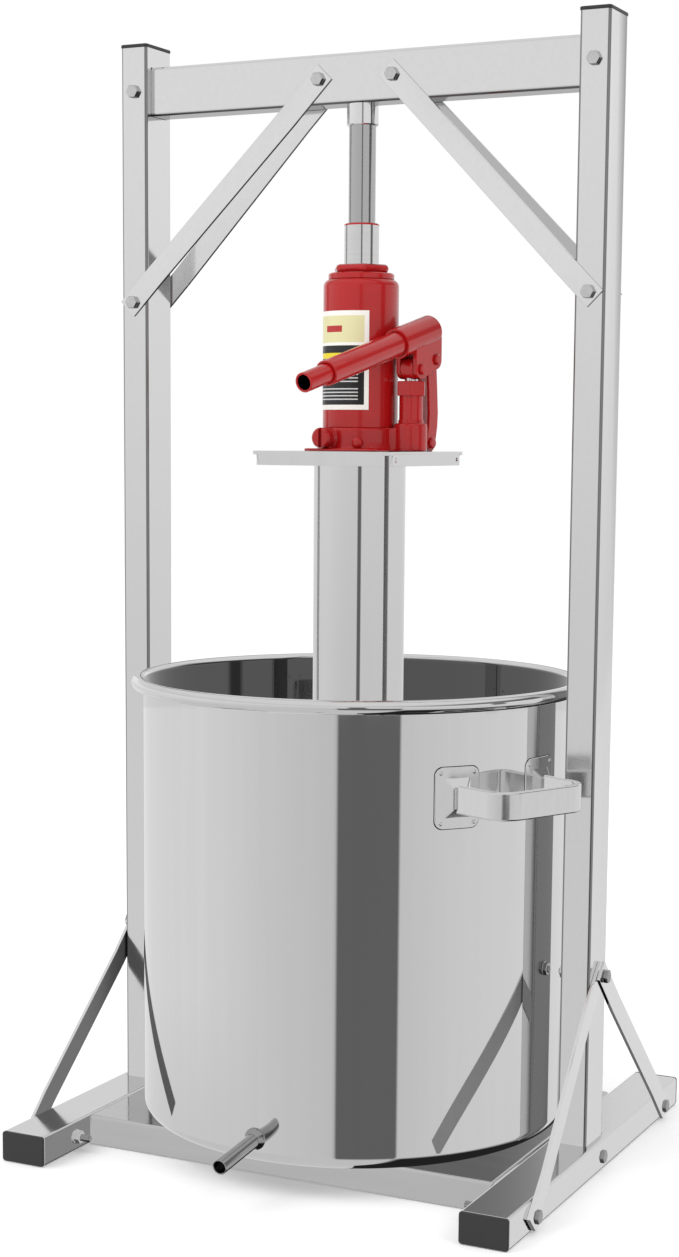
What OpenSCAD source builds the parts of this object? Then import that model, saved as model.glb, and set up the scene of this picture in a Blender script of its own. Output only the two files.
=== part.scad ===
// Hydraulic fruit press: a bolted stainless tube frame, a stock pot with a strainer basket, and a
// press head (disc, column and bottle jack) that the jack drives down against the crossbeam.
// Millimetres. X runs along the crossbeam, Y to the rear, Z up. The origin is the press axis at floor level.

/* [Tube frame] */
// Overall height of the frame with its caps
frame_h = 920; // [880:5:1000]
// Long side of the rectangular tube section
tube_long = 40; // [36:1:44]
// Short side of the rectangular tube section
tube_short = 25; // [23:1:28]
// Wall of the tube
tube_wall = 2; // [1.5:0.25:2.5]
// Outer corner radius of the tube
tube_corner_r = 2.5; // [2:0.25:3.5]
// Gap between the pot's wall and an upright
pot_gap = 12.5; // [11:0.5:25]
// Distance from an upright's centre line in to its foot's
foot_step = 1; // [0:0.5:2]
// Length of a foot tube without its caps
foot_len = 400; // [380:5:460]
// Distance from the top of the frame down to the middle of the crossbeam
beam_drop = 39; // [34:1:60]
// Flange thickness of a tube cap
cap_t = 3; // [2:0.5:5]
// Depth of a tube cap's plug
cap_plug = 12; // [8:1:16]

/* [Base pan] */
// Depth of the base pan from front to rear
pan_depth = 268; // [240:2:280]
// Sheet thickness of the base pan
pan_t = 2; // [1.5:0.25:3]
// Gap under the pan's folded edges
pan_lift = 1; // [0.5:0.5:2]

/* [Braces and bolts] */
// Width of the flat brace bars
brace_w = 18; // [16:1:22]
// Thickness of the flat brace bars
brace_t = 3; // [2:0.5:4]
// Bar length past a brace's bolt hole
brace_end = 8; // [7:1:12]
// Distance of a top brace's beam bolt from the press axis
top_brace_x = 33; // [28:1:50]
// Drop from the beam's middle to a top brace's upright bolt
top_brace_drop = 175; // [150:5:200]
// Height of the base braces' upright bolt
base_brace_z = 163; // [140:1:200]
// Distance along the foot from the pan's edge to a base brace's foot bolt
brace_pan_gap = 21; // [18:1:30]
// Thread diameter of the frame bolts
bolt_d = 6; // [5:0.5:8]

/* [Pot] */
// Outer diameter of the pot's wall
pot_d = 360; // [340:1:362]
// Height of the pot over its rim
pot_h = 371; // [340:1:380]
// Sheet thickness of the pot
pot_wall = 1.5; // [1:0.25:2]
// Outer radius between the pot's wall and floor
pot_corner_r = 12; // [8:1:20]
// Diameter of the rolled rim
rim_d = 11; // [9:0.5:11]
// Outer diameter of the spout pipe
spout_d = 12; // [10:0.5:14]
// Wall of the spout pipe
spout_wall = 1; // [0.75:0.25:1.5]
// Reach of the spout past the pot's wall
spout_reach = 57; // [40:1:60]
// Height of the spout's axis above the pot's underside where it leaves the wall
spout_rise = 20.6; // [18:0.2:26]
// Fall of the spout below level
spout_slope = 6; // [0:0.5:8]
// Direction of the right handle, from the spout round towards the right upright
handle_angle = 65; // [55:1:65]
// Distance between the arms of a pot handle
handle_w = 90; // [80:1:94]
// Reach of a pot handle past the wall
handle_reach = 50; // [44:1:56]
// Drop from the pot's rim to the middle of a pot handle
handle_drop = 78; // [60:1:110]
// Height of the handle strap
strap_h = 22; // [18:1:26]
// Thickness of the handle strap
strap_t = 5; // [4:0.5:6]
// Width of a handle pad along the wall
pad_w = 38; // [34:1:42]
// Height of a handle pad
pad_h = 48; // [44:1:52]

/* [Strainer basket] */
// Gap between the basket's wall and the pot's
basket_gap = 5; // [4:0.5:10]
// Height of the basket
basket_h = 300; // [260:1:310]
// Sheet thickness of the basket
basket_wall = 1.2; // [1:0.1:1.6]
// Height of the ring that holds the basket off the pot's floor
basket_foot = 8; // [6:0.5:12]
// Width of a drain slot
drain_w = 4; // [3:0.5:6]
// Height of a drain slot
drain_h = 30; // [20:1:36]
// Drain slots in one row
drain_columns = 20; // [16:2:28]
// Rows of drain slots
drain_rows = 6; // [4:1:6]

/* [Press column] */
// Gap between the press disc's edge and the basket
disc_gap = 7.3; // [5:0.1:15]
// Thickness of the press disc
disc_t = 4; // [3:0.5:6]
// Outer diameter of the column tube
column_d = 76; // [70:1:80]
// Wall of the column tube
column_wall = 2; // [1.5:0.25:3]
// Width of the jack plate along the beam
plate_w = 122; // [112:1:130]
// Depth of the jack plate from front to rear
plate_depth = 146; // [140:1:160]
// Sheet thickness of the jack plate
plate_t = 3; // [2:0.5:4]
// Height of the jack plate's folded edges
plate_edge = 11.5; // [9:0.5:14]

/* [Jack] */
// Outer diameter of the oil tank
tank_d = 62; // [58:1:64]
// Height of the jack body from its base to the top of its nut
jack_h = 151; // [145:1:160]
// Height of the base casting's round boss
base_h = 19; // [17:0.5:21]
// Diameter of the ram sleeve
ram_d = 28.5; // [27:0.5:30]
// Diameter of the inner rod
rod_d = 22; // [20:0.5:23]
// Length of ram sleeve that shows above the nut
ram_out = 33; // [28:1:36]
// Length of inner rod that shows between the ram sleeve and the cup
rod_out = 78; // [60:1:100]
// Length of the cup under the crossbeam
cup_len = 17; // [15:0.5:20]
// Gap between the oil tank and the pump's barrel
pump_gap = 5.3; // [4.5:0.1:7]
// Gap between the gland nut and the plunger's knuckle at rest
knuckle_gap = 0.5; // [0.5:0.1:3]
// Rise from the plunger's pin to the link's upper pin
pin_rise = 8.5; // [7.5:0.5:9.5]
// Height of the link's lower pin above the jack's underside
lug_pin_h = 7; // [6.5:0.5:8]
// Distance of the link from the pump's axis
link_offset = 22; // [20:0.5:24]
// Turn of the lever's plane about the pump's axis
lever_yaw = -9; // [-12:1:-4]
// Fall of the handle below level at rest
lever_slope = 15; // [10:1:18]
// Outer diameter of the handle socket
socket_d = 25; // [24:0.5:26]
// Outer diameter of the pump handle
handle_d = 20; // [18:0.5:21]
// Distance from the plunger's pin to the handle's tip along the handle
handle_len = 154; // [130:1:170]

/* [Hidden] */
$fn = 64;
// Running gap of a shaft, pin or piston in its bore
run_fit = 0.05;
// Gap between fixed pieces that slip into each other
slip_fit = 0.2;
// Gap between flat pieces that only rest on each other across a joint
rest_gap = 0.3;
// Overlap that makes a cut pass clean through a face
cut = 1;

// Frame
upright_x = pot_d / 2 + pot_gap + tube_short / 2;
foot_x = upright_x - foot_step;
upright_in = upright_x - tube_short / 2;
upright_out = upright_x + tube_short / 2;
upright_top = frame_h - cap_t;
foot_in = foot_x - tube_long / 2;
foot_out = foot_x + tube_long / 2;
foot_mid = tube_short / 2;
beam_z = frame_h - beam_drop;
beam_under = beam_z - tube_long / 2;
beam_half = upright_out - tube_wall - slip_fit;
top_brace_z = beam_z - top_brace_drop;
pan_w = 2 * (foot_in - slip_fit);
base_brace_y = pan_depth / 2 + brace_pan_gap;
cap_overhang = 0.5;

// Bolts, with the head, nut and washer sizes that go with the thread
bolt_af = 5 / 3 * bolt_d;
bolt_head_h = 0.66 * bolt_d;
nut_h = 0.8 * bolt_d;
washer_d = 2 * bolt_d;
washer_t = 1.6;
bolt_tail = 1.5;
foot_bolt_tail = 8.5;
bolt_hole_d = bolt_d + 2 * slip_fit;

// Pot
pot_r = pot_d / 2;
pot_z = tube_short;
pot_floor = pot_z + pot_wall;
pot_top = pot_z + pot_h;
pot_in_r = pot_r - pot_wall;
rim_r = rim_d / 2;
spout_z = pot_z + spout_rise;
spout_start = spout_d / 2 * tan(spout_slope) + slip_fit;
spout_hole_d = spout_d - 2 * spout_wall - 1;
pot_seam = pot_corner_r + 2;
spout_collar_d = spout_d + 6;
spout_collar_len = 5;
handle_z = pot_top - handle_drop;
strap_corner_r = 20;
pad_t = 1.2;
boss_t = 5;
boss_w = 22;
boss_h = strap_h + 10;
pad_turn = asin(handle_w / 2 / (pot_r + pad_t + boss_t));
rivet_d = 3.6;
rivet_t = 0.8;
rivet_inset = 4.5;

// Basket
basket_r = pot_in_r - basket_gap;
basket_d = 2 * basket_r;
basket_z = pot_floor + basket_foot;
basket_floor = basket_z + basket_wall;
basket_top = pot_floor + basket_h;
basket_rim = 5;
basket_ring_r = 0.8 * basket_r;
drain_margin = 12 + drain_h / 2;

// Press head: the jack hangs down from the beam, the disc rests on the basket's floor, the column joins them
disc_z = basket_floor + rest_gap;
disc_d = 2 * (basket_r - basket_wall - disc_gap);
column_z = disc_z + disc_t;
cup_z = beam_under - cup_len;
ram_top = cup_z - rod_out;
nut_top = ram_top - ram_out;
jack_z = nut_top - jack_h;
plate_z = jack_z - plate_t;
column_len = plate_z - column_z;
flange_h = 18;
flange_foot_w = 25;
flange_foot_d = column_d + 2 * flange_foot_w;
flange_foot_t = 4;
plate_hole_d = 4;
plate_hole_inset = 6;
plate_corner_gap = 6;

// Jack body
tank_r = tank_d / 2;
tank_wall = 2.5;
tank_z = jack_z + base_h;
crown_h = 6.8;
collar_h = 4.8;
shoulder_r = 6;
collar_z = nut_top - crown_h - collar_h;
collar_d = tank_d - 8;
crown_af = 42;
barrel_wall = 4;
piston_d = ram_d + 6;
piston_h = 12;
seal_h = 4;
seal_t = 2;
ram_len = 126;
ram_z = ram_top - ram_len;
sleeve_floor = 20;
rod_seat = ram_z + sleeve_floor;
cylinder_seat = 5;
cup_d = rod_d + 4;
cup_depth = 12;
rod_in_ram = 20;
rod_z = ram_top - rod_in_ram;
rod_top = cup_z + cup_depth - rest_gap;
base_flange_t = 2;
base_edge = 2;
base_nose = 13;
base_flange = [tank_d + 2 * base_edge, tank_d + 2 * base_edge + base_nose];
base_flange_mid = [0, -3.5];
base_boss_d = tank_d + 6;
base_corner_r = 8;
label_t = 0.3;
label_low = 14.5;
label_high = 94;
label_start = -78;
label_turn = 116;
filler_d = 10;
filler_t = 3;
filler_rise = 100;

// Pump, lever and link, in the pump's own frame: X across the lever, Y to the rear, Z up
pump_boss_d = 27;
pump_boss_h = base_h + 4;
pump_web = 0.8 * pump_boss_d;
barrel_d = 19.4;
barrel_h = 22;
gland_h = 12;
gland_af = 22;
plunger_d = 11;
plunger_low = 30;
pin_d = 6;
pin_head_d = 9;
pin_head_t = 2.5;
open_pivot_gap = 1.2;
lug_w = 6.4;
link_t = 2.4;
ear_t = 4;
side_gap = 0.25;
link_in = lug_w / 2 + side_gap;
link_out = link_in + link_t;
ear_in = link_out + side_gap;
ear_out = ear_in + ear_t;
knuckle_w = 2 * (ear_in - side_gap);
knuckle_d = 18;
pump_x = tank_r + pump_gap + barrel_d / 2;
plunger_pin_h = pump_boss_h + barrel_h + gland_h + knuckle_gap + knuckle_d / 2;
link_pin_h = plunger_pin_h + pin_rise;
link_plate_gap = 0.5;
link_w = 2 * (lug_pin_h - link_plate_gap);
link_bow = 3.5;
lug_r = 6.8;
socket_rise = 25.5;
socket_front = 24;
socket_back = 28;
socket_end_t = 4;
handle_fit = 0.1;
handle_in = 18;
handle_wall = 2.15;
tip_d = handle_d - 2 * handle_wall - 2 * handle_fit;
tip_len = 30;
tip_in = 30;
tip_wall = 1.75;

// Release valve and drain screw on the front of the base casting
valve_x = -14;
valve_h = 10.75;
valve_boss_d = 2 * (base_h - valve_h) - 1;
valve_boss_len = 36;
valve_stem_d = 8;
valve_stem_in = 12;
valve_knob_d = 2 * (valve_h - base_flange_t) - 1;
valve_knob_len = 10;
valve_slot_w = 3;
valve_slot_depth = 3;
screw_x = 13;
screw_h = 6.5;
screw_d = 8;
screw_out = 3.5;

stainless = "gainsboro";
chrome = "lightgray";
bolt_steel = "silver";
cap_plastic = [0.12, 0.12, 0.12];
jack_red = [0.78, 0.10, 0.10];
label_cream = [0.90, 0.87, 0.70];
seal_black = [0.15, 0.15, 0.16];

// Rectangle with rounded corners, centred
module rounded(size, r) {
    square([size[0] - 2 * r, size[1]], center = true);
    square([size[0], size[1] - 2 * r], center = true);
    for (x = [-1, 1], y = [-1, 1])
        translate([x * (size[0] / 2 - r), y * (size[1] / 2 - r)])
            circle(r);
}

// Inside of the tube section
module tube_bore_2d(size) {
    bore_r = max(tube_corner_r - tube_wall, tube_wall / 4);
    rounded([size[0] - 2 * tube_wall, size[1] - 2 * tube_wall], bore_r);
}

// Rectangular tube standing on z = 0
module tube(size, len) {
    linear_extrude(len)
        difference() {
            rounded(size, tube_corner_r);
            tube_bore_2d(size);
        }
}

// Cylinder along X, centred on the origin
module x_rod(d, len) {
    rotate([0, 90, 0])
        cylinder(d = d, h = len, center = true);
}

// Cylinder along Y, centred on the origin
module y_rod(d, len) {
    rotate([90, 0, 0])
        cylinder(d = d, h = len, center = true);
}

// Hexagonal prism with a given width across its flats
module hex(af, h) {
    cylinder(d = af / cos(30), h = h, $fn = 6);
}

// Pipe standing on z = 0
module pipe(d, bore, h) {
    difference() {
        cylinder(d = d, h = h);
        translate([0, 0, -cut])
            cylinder(d = bore, h = h + 2 * cut);
    }
}

// Frame tubes and caps

module foot(side) {
    difference() {
        translate([side * foot_x, foot_len / 2, foot_mid])
            rotate([90, 0, 0])
                tube([tube_long, tube_short], foot_len);
        translate([side * upright_x, 0, tube_short])
            cube([tube_short + 2 * slip_fit, tube_long + 2 * slip_fit, 2 * tube_wall + cut], center = true);
        for (y = [-base_brace_y, 0, base_brace_y])
            translate([side * foot_x, y, foot_mid])
                x_rod(bolt_hole_d, tube_long + 2 * cut);
    }
}

module upright(side) {
    difference() {
        translate([side * upright_x, 0, tube_wall])
            tube([tube_short, tube_long], upright_top - tube_wall);
        translate([side * upright_in, 0, beam_z])
            cube([2 * tube_wall + cut, tube_short + 2 * slip_fit, tube_long + 2 * slip_fit], center = true);
        for (z = [foot_mid, base_brace_z])
            translate([side * upright_x, 0, z])
                x_rod(bolt_hole_d, tube_short + 2 * cut);
        for (z = [beam_z, top_brace_z])
            translate([side * upright_x, 0, z])
                y_rod(bolt_hole_d, tube_long + 2 * cut);
    }
}

// Cap with its flange on z = 0 and its plug below
module tube_cap(size, overhang) {
    plug_gap = tube_wall + slip_fit;
    linear_extrude(cap_t)
        rounded([size[0] + 2 * overhang, size[1] + 2 * overhang], tube_corner_r);
    translate([0, 0, -cap_plug])
        linear_extrude(cap_plug)
            square([size[0] - 2 * plug_gap, size[1] - 2 * plug_gap], center = true);
}

module left_foot() {
    color(stainless) foot(-1);
}

module right_foot() {
    color(stainless) foot(1);
}

module foot_caps() {
    color(cap_plastic)
        for (x = [-foot_x, foot_x], end = [-1, 1])
            translate([x, end * foot_len / 2, foot_mid])
                rotate([-end * 90, 0, 0])
                    tube_cap([tube_long, tube_short], 0);
}

module left_upright() {
    color(stainless) upright(-1);
}

module right_upright() {
    color(stainless) upright(1);
}

module upright_caps() {
    color(cap_plastic)
        for (x = [-upright_x, upright_x])
            translate([x, 0, upright_top])
                tube_cap([tube_short, tube_long], cap_overhang);
}

module crossbeam() {
    color(stainless)
        difference() {
            translate([-beam_half, 0, beam_z])
                rotate([90, 0, 90])
                    tube([tube_short, tube_long], 2 * beam_half);
            for (x = [-upright_x, -top_brace_x, top_brace_x, upright_x])
                translate([x, 0, beam_z])
                    y_rod(bolt_hole_d, tube_short + 2 * cut);
        }
}

module ram_cup() {
    color(stainless)
        difference() {
            translate([0, 0, cup_z])
                cylinder(d = cup_d, h = cup_len);
            translate([0, 0, cup_z - cut])
                cylinder(d = rod_d + 2 * run_fit, h = cup_depth + cut);
        }
}

module base_pan() {
    pan_h = tube_short - pan_lift;
    color(stainless)
        difference() {
            translate([-pan_w / 2, -pan_depth / 2, pan_lift])
                cube([pan_w, pan_depth, pan_h]);
            translate([-pan_w / 2 + pan_t, -pan_depth / 2 + pan_t, pan_lift - cut])
                cube([pan_w - 2 * pan_t, pan_depth - 2 * pan_t, pan_h - pan_t + cut]);
            translate([0, 0, foot_mid])
                x_rod(bolt_hole_d, pan_w + 2 * cut);
        }
}

// Flat braces, bent twice where the two faces they bolt to stand at different depths

// Bar along +X from one bolt hole to the next, lying on z = 0 up to bend_1 and on z = step after bend_2
module brace_bar(len, step, bend_1, bend_2) {
    difference() {
        translate([0, brace_w / 2, 0])
            rotate([90, 0, 0])
                linear_extrude(brace_w)
                    polygon([
                        [-brace_end, 0], [bend_1, 0], [bend_2, step], [len + brace_end, step],
                        [len + brace_end, step + brace_t], [bend_2, step + brace_t],
                        [bend_1, brace_t], [-brace_end, brace_t]
                    ]);
        for (x = [0, len])
            translate([x, 0, min(0, step) - cut])
                cylinder(d = bolt_hole_d, h = abs(step) + brace_t + 2 * cut);
    }
}

// Brace on the front faces of the beam and the right upright
module top_brace() {
    run = upright_x - top_brace_x;
    len = norm([run, top_brace_drop]);
    fall = atan2(top_brace_drop, run);
    bend_1 = (tube_long / 2 + brace_w / 2 * cos(fall) + brace_t) / sin(fall);
    bend_2 = (upright_in - top_brace_x - brace_w / 2 * sin(fall) - brace_t) / cos(fall);
    translate([top_brace_x, -tube_short / 2, beam_z])
        rotate([90, 0, 0])
            rotate([0, 0, -fall])
                brace_bar(len, (tube_long - tube_short) / 2, bend_1, bend_2);
}

// Brace on the outer faces of the right upright and foot, front half; lift stacks it on another bar
module base_brace(lift) {
    drop = base_brace_z - foot_mid;
    len = norm([base_brace_y, drop]);
    fall = atan2(drop, base_brace_y);
    bend_1 = (tube_long / 2 + brace_w / 2 * sin(fall) + brace_t) / cos(fall);
    bend_2 = (base_brace_z - tube_short - brace_w / 2 * cos(fall) - brace_t) / sin(fall);
    translate([upright_out + lift, 0, base_brace_z])
        rotate([0, 90, 0])
            rotate([0, 0, -90 + fall])
                brace_bar(len, foot_out - upright_out - lift, bend_1, bend_2);
}

module top_brace_front_left() {
    color(stainless) mirror([1, 0, 0]) top_brace();
}

module top_brace_front_right() {
    color(stainless) top_brace();
}

module top_brace_rear_left() {
    color(stainless) mirror([0, 1, 0]) mirror([1, 0, 0]) top_brace();
}

module top_brace_rear_right() {
    color(stainless) mirror([0, 1, 0]) top_brace();
}

module base_brace_front_left() {
    color(stainless) mirror([1, 0, 0]) base_brace(0);
}

module base_brace_front_right() {
    color(stainless) base_brace(0);
}

module base_brace_rear_left() {
    color(stainless) mirror([1, 0, 0]) mirror([0, 1, 0]) base_brace(brace_t);
}

module base_brace_rear_right() {
    color(stainless) mirror([0, 1, 0]) base_brace(brace_t);
}

// Bolts, washers and nuts: each seat is [point under the head, grip length, thread past the nut]
top_seats = [
    for (side = [-1, 1])
        each [
            [[side * upright_x, -tube_long / 2, beam_z], tube_long, bolt_tail],
            [[side * top_brace_x, -tube_short / 2 - brace_t, beam_z], tube_short + 2 * brace_t, bolt_tail],
            [[side * upright_x, -tube_long / 2 - brace_t, top_brace_z], tube_long + 2 * brace_t, bolt_tail]
        ]
];

base_seats = [
    [[foot_out, 0, foot_mid], foot_out - pan_w / 2 + pan_t, bolt_tail],
    [[foot_out + brace_t, -base_brace_y, foot_mid], tube_long + brace_t, foot_bolt_tail],
    [[foot_out + brace_t, base_brace_y, foot_mid], tube_long + brace_t, foot_bolt_tail],
    [[upright_out + 2 * brace_t, 0, base_brace_z], tube_short + 2 * brace_t, bolt_tail]
];

module bolt(grip, tail) {
    translate([0, 0, -bolt_head_h])
        hex(bolt_af, bolt_head_h);
    cylinder(d = bolt_d, h = grip + washer_t + nut_h + tail);
}

module washer(grip) {
    translate([0, 0, grip])
        pipe(washer_d, bolt_hole_d, washer_t);
}

module nut(grip) {
    translate([0, 0, grip + washer_t])
        difference() {
            hex(bolt_af, nut_h);
            translate([0, 0, -cut])
                cylinder(d = bolt_d + 2 * run_fit, h = nut_h + 2 * cut);
        }
}

// Places its child at a seat that faces the front
module at_top(seat) {
    translate(seat[0])
        rotate([-90, 0, 0])
            children();
}

// Places its child at a seat that faces outwards, on both sides
module at_base(seat) {
    for (side = [0, 1])
        mirror([side, 0, 0])
            translate(seat[0])
                rotate([0, -90, 0])
                    rotate([0, 0, 90])
                        children();
}

module top_bolts() {
    color(bolt_steel) for (seat = top_seats) at_top(seat) bolt(seat[1], seat[2]);
}

module top_washers() {
    color(bolt_steel) for (seat = top_seats) at_top(seat) washer(seat[1]);
}

module top_nuts() {
    color(bolt_steel) for (seat = top_seats) at_top(seat) nut(seat[1]);
}

module base_bolts() {
    color(bolt_steel) for (seat = base_seats) at_base(seat) bolt(seat[1], seat[2]);
}

module base_washers() {
    color(bolt_steel) for (seat = base_seats) at_base(seat) washer(seat[1]);
}

module base_nuts() {
    color(bolt_steel) for (seat = base_seats) at_base(seat) nut(seat[1]);
}

// Pot

// Half section of a round vessel with a rounded lower corner
module vessel_2d(r, h, corner_r) {
    square([r - corner_r, h]);
    translate([0, corner_r])
        square([r, h - corner_r]);
    translate([r - corner_r, corner_r])
        circle(corner_r);
}

// Frame of the spout: Z runs out along the pipe, from the axis of the pot
module at_spout() {
    translate([0, -pot_r, spout_z])
        rotate([90 + spout_slope, 0, 0])
            children();
}

module pot_shell() {
    wall_z = pot_z + pot_seam + run_fit;
    color(stainless)
        difference() {
            union() {
                translate([0, 0, wall_z])
                    pipe(pot_d, 2 * pot_in_r, pot_top - rim_r - wall_z);
                translate([0, 0, pot_top - rim_r])
                    rotate_extrude()
                        translate([pot_in_r + rim_r, 0])
                            circle(rim_r);
            }
            at_spout()
                cylinder(d = spout_hole_d, h = 2 * spout_d, center = true);
        }
}

module pot_bottom() {
    color(stainless)
        translate([0, 0, pot_z])
            rotate_extrude()
                intersection() {
                    difference() {
                        vessel_2d(pot_r, pot_h, pot_corner_r);
                        translate([0, pot_wall])
                            vessel_2d(pot_in_r, pot_h, pot_corner_r - pot_wall);
                    }
                    square([pot_d, pot_seam]);
                }
}

module pot_spout() {
    color(stainless)
        at_spout()
            translate([0, 0, spout_start])
                pipe(spout_d, spout_d - 2 * spout_wall, spout_reach - spout_start);
}

module spout_collar() {
    fall = spout_collar_len * tan(spout_slope);
    bore = spout_d / cos(spout_slope) + fall + 2 * run_fit;
    color(stainless)
        translate([0, -pot_r - run_fit, spout_z - fall / 2])
            rotate([90, 0, 0])
                pipe(spout_collar_d, bore, spout_collar_len);
}

// Bent strap of the right handle, from pad to pad
module pot_handle() {
    reach = pot_r + handle_reach;
    back = reach - 2 * handle_reach;
    inner = [reach - back - 2 * strap_t, handle_w - strap_t];
    translate([0, 0, handle_z - strap_h / 2])
        rotate([0, 0, handle_angle - 90])
            difference() {
                linear_extrude(strap_h)
                    translate([(reach + back) / 2, 0])
                        difference() {
                            rounded([reach - back, handle_w + strap_t], strap_corner_r);
                            rounded(inner, strap_corner_r - strap_t);
                        }
                translate([0, 0, -cut])
                    cylinder(r = pot_r + pad_t + boss_t + run_fit, h = strap_h + 2 * cut);
            }
}

// Places its child at each pad of both handles, with +X pointing out of the wall
module at_pads() {
    for (turn = [0, 180], arm = [-1, 1])
        rotate([0, 0, turn + handle_angle - 90 + arm * pad_turn])
            translate([0, 0, handle_z])
                children();
}

// Block that lies on a round wall, width measured along the wall
module wall_block(r, t, w, h) {
    turn = w / r * 180 / PI;
    translate([0, 0, -h / 2])
        rotate([0, 0, -turn / 2])
            rotate_extrude(angle = turn)
                translate([r, 0])
                    square([t, h]);
}

module pot_handle_right() {
    color(stainless) pot_handle();
}

module pot_handle_left() {
    color(stainless) rotate([0, 0, 180]) pot_handle();
}

module handle_pads() {
    color(stainless)
        at_pads() {
            wall_block(pot_r + run_fit, pad_t, pad_w, pad_h);
            wall_block(pot_r + run_fit, pad_t + boss_t - run_fit, boss_w, boss_h);
        }
}

module pad_rivets() {
    rivet_turn = (pad_w / 2 - rivet_inset) / pot_r * 180 / PI;
    color(stainless)
        at_pads()
            for (y = [-1, 1], z = [-1, 1])
                rotate([0, 0, y * rivet_turn])
                    translate([pot_r + pad_t + 2 * run_fit, 0, z * (pad_h / 2 - rivet_inset)])
                        rotate([0, 90, 0])
                            cylinder(d = rivet_d, h = rivet_t);
}

module strainer_basket() {
    drain_top = basket_top - drain_margin;
    drain_step = (drain_top - basket_floor - drain_margin) / (drain_rows - 1);
    color(stainless)
        difference() {
            union() {
                translate([0, 0, basket_z])
                    pipe(basket_d, basket_d - 2 * basket_wall, basket_top - basket_z);
                translate([0, 0, basket_top - basket_rim])
                    pipe(basket_d + basket_rim, basket_d - basket_wall, basket_rim);
            }
            for (row = [0 : drain_rows - 1], column = [0 : drain_columns - 1])
                rotate([0, 0, (column + row % 2 / 2) * 360 / drain_columns])
                    translate([basket_r, 0, basket_floor + drain_margin + row * drain_step])
                        cube([6 * basket_wall, drain_w, drain_h], center = true);
        }
}

module basket_bottom() {
    color(stainless) {
        translate([0, 0, basket_z])
            cylinder(r = basket_r - basket_wall - run_fit, h = basket_wall);
        translate([0, 0, pot_floor])
            pipe(2 * basket_ring_r, 2 * (basket_ring_r - basket_wall), basket_foot + basket_wall / 2);
    }
}

// Press head

module press_disc() {
    color(stainless)
        translate([0, 0, disc_z])
            cylinder(d = disc_d, h = disc_t);
}

module disc_flange() {
    color(stainless)
        difference() {
            translate([0, 0, column_z])
                union() {
                    cylinder(d = flange_foot_d, h = flange_foot_t);
                    cylinder(d = column_d + 4 * column_wall, h = flange_h);
                }
            translate([0, 0, column_z - cut])
                cylinder(d = column_d + 2 * run_fit, h = flange_h + 2 * cut);
        }
}

module press_column() {
    color(stainless)
        translate([0, 0, column_z])
            pipe(column_d, column_d - 2 * column_wall, column_len);
}

module jack_plate() {
    hole_y = plate_depth / 2 - plate_corner_gap - plate_hole_inset;
    color(stainless)
        difference() {
            union() {
                translate([-plate_w / 2, -plate_depth / 2, plate_z])
                    cube([plate_w, plate_depth, plate_t]);
                for (y = [-1, 1])
                    translate([-plate_w / 2 + plate_corner_gap,
                               y * (plate_depth - plate_t) / 2 - plate_t / 2, jack_z - plate_edge])
                        cube([plate_w - 2 * plate_corner_gap, plate_t, plate_edge]);
                for (x = [-1, 1])
                    translate([x * (plate_w - plate_t) / 2 - plate_t / 2,
                               -plate_depth / 2 + plate_corner_gap, jack_z - plate_edge])
                        cube([plate_t, plate_depth - 2 * plate_corner_gap, plate_edge]);
            }
            for (y = [-1, 1])
                translate([0, y * hole_y, plate_z - plate_edge / 3])
                    x_rod(plate_hole_d, plate_w + 2 * cut);
        }
}

// Jack body

// Frame of the pump: the lever swings in its YZ plane, with the handle towards -Y
module at_pump(h) {
    translate([pump_x, 0, jack_z + h])
        rotate([0, 0, lever_yaw])
            children();
}

module jack_base() {
    cavity = piston_d + 2 * run_fit + 2 * barrel_wall + 2 * slip_fit;
    color(jack_red)
        difference() {
            union() {
                translate([base_flange_mid[0], base_flange_mid[1], jack_z])
                    linear_extrude(base_flange_t)
                        rounded(base_flange, base_corner_r);
                translate([0, 0, jack_z])
                    cylinder(d = base_boss_d, h = base_h);
                at_pump(0) {
                    cylinder(d = pump_boss_d, h = pump_boss_h);
                    translate([-lug_w / 2, 0, 0])
                        rotate([90, 0, 90])
                            linear_extrude(lug_w)
                                polygon([
                                    [0, 0],
                                    [link_offset + lug_r, 0],
                                    [link_offset + lug_r, lug_pin_h + lug_r / 3],
                                    [link_offset + lug_r / 3, lug_pin_h + lug_r],
                                    [0, lug_pin_h + lug_r]
                                ]);
                }
                translate([0, -pump_web / 2, jack_z])
                    cube([pump_x, pump_web, base_h]);
                translate([valve_x, -valve_boss_len / 2, jack_z + valve_h])
                    y_rod(valve_boss_d, valve_boss_len);
            }
            translate([0, 0, tank_z - cylinder_seat])
                cylinder(d = cavity, h = cylinder_seat + cut);
            translate([valve_x, -valve_boss_len, jack_z + valve_h])
                y_rod(valve_stem_d + 2 * run_fit, 2 * (valve_stem_in + cut));
            translate([screw_x, -base_boss_d / 2, jack_z + screw_h])
                y_rod(screw_d + 2 * run_fit, base_boss_d / 2);
            at_pump(lug_pin_h)
                translate([0, link_offset, 0])
                    x_rod(pin_d + 2 * run_fit, lug_w + 2 * cut);
        }
}

module jack_cylinder() {
    bore = piston_d + 2 * run_fit;
    color(chrome)
        translate([0, 0, tank_z - cylinder_seat])
            pipe(bore + 2 * barrel_wall, bore, collar_z - tank_z + cylinder_seat);
}

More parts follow.
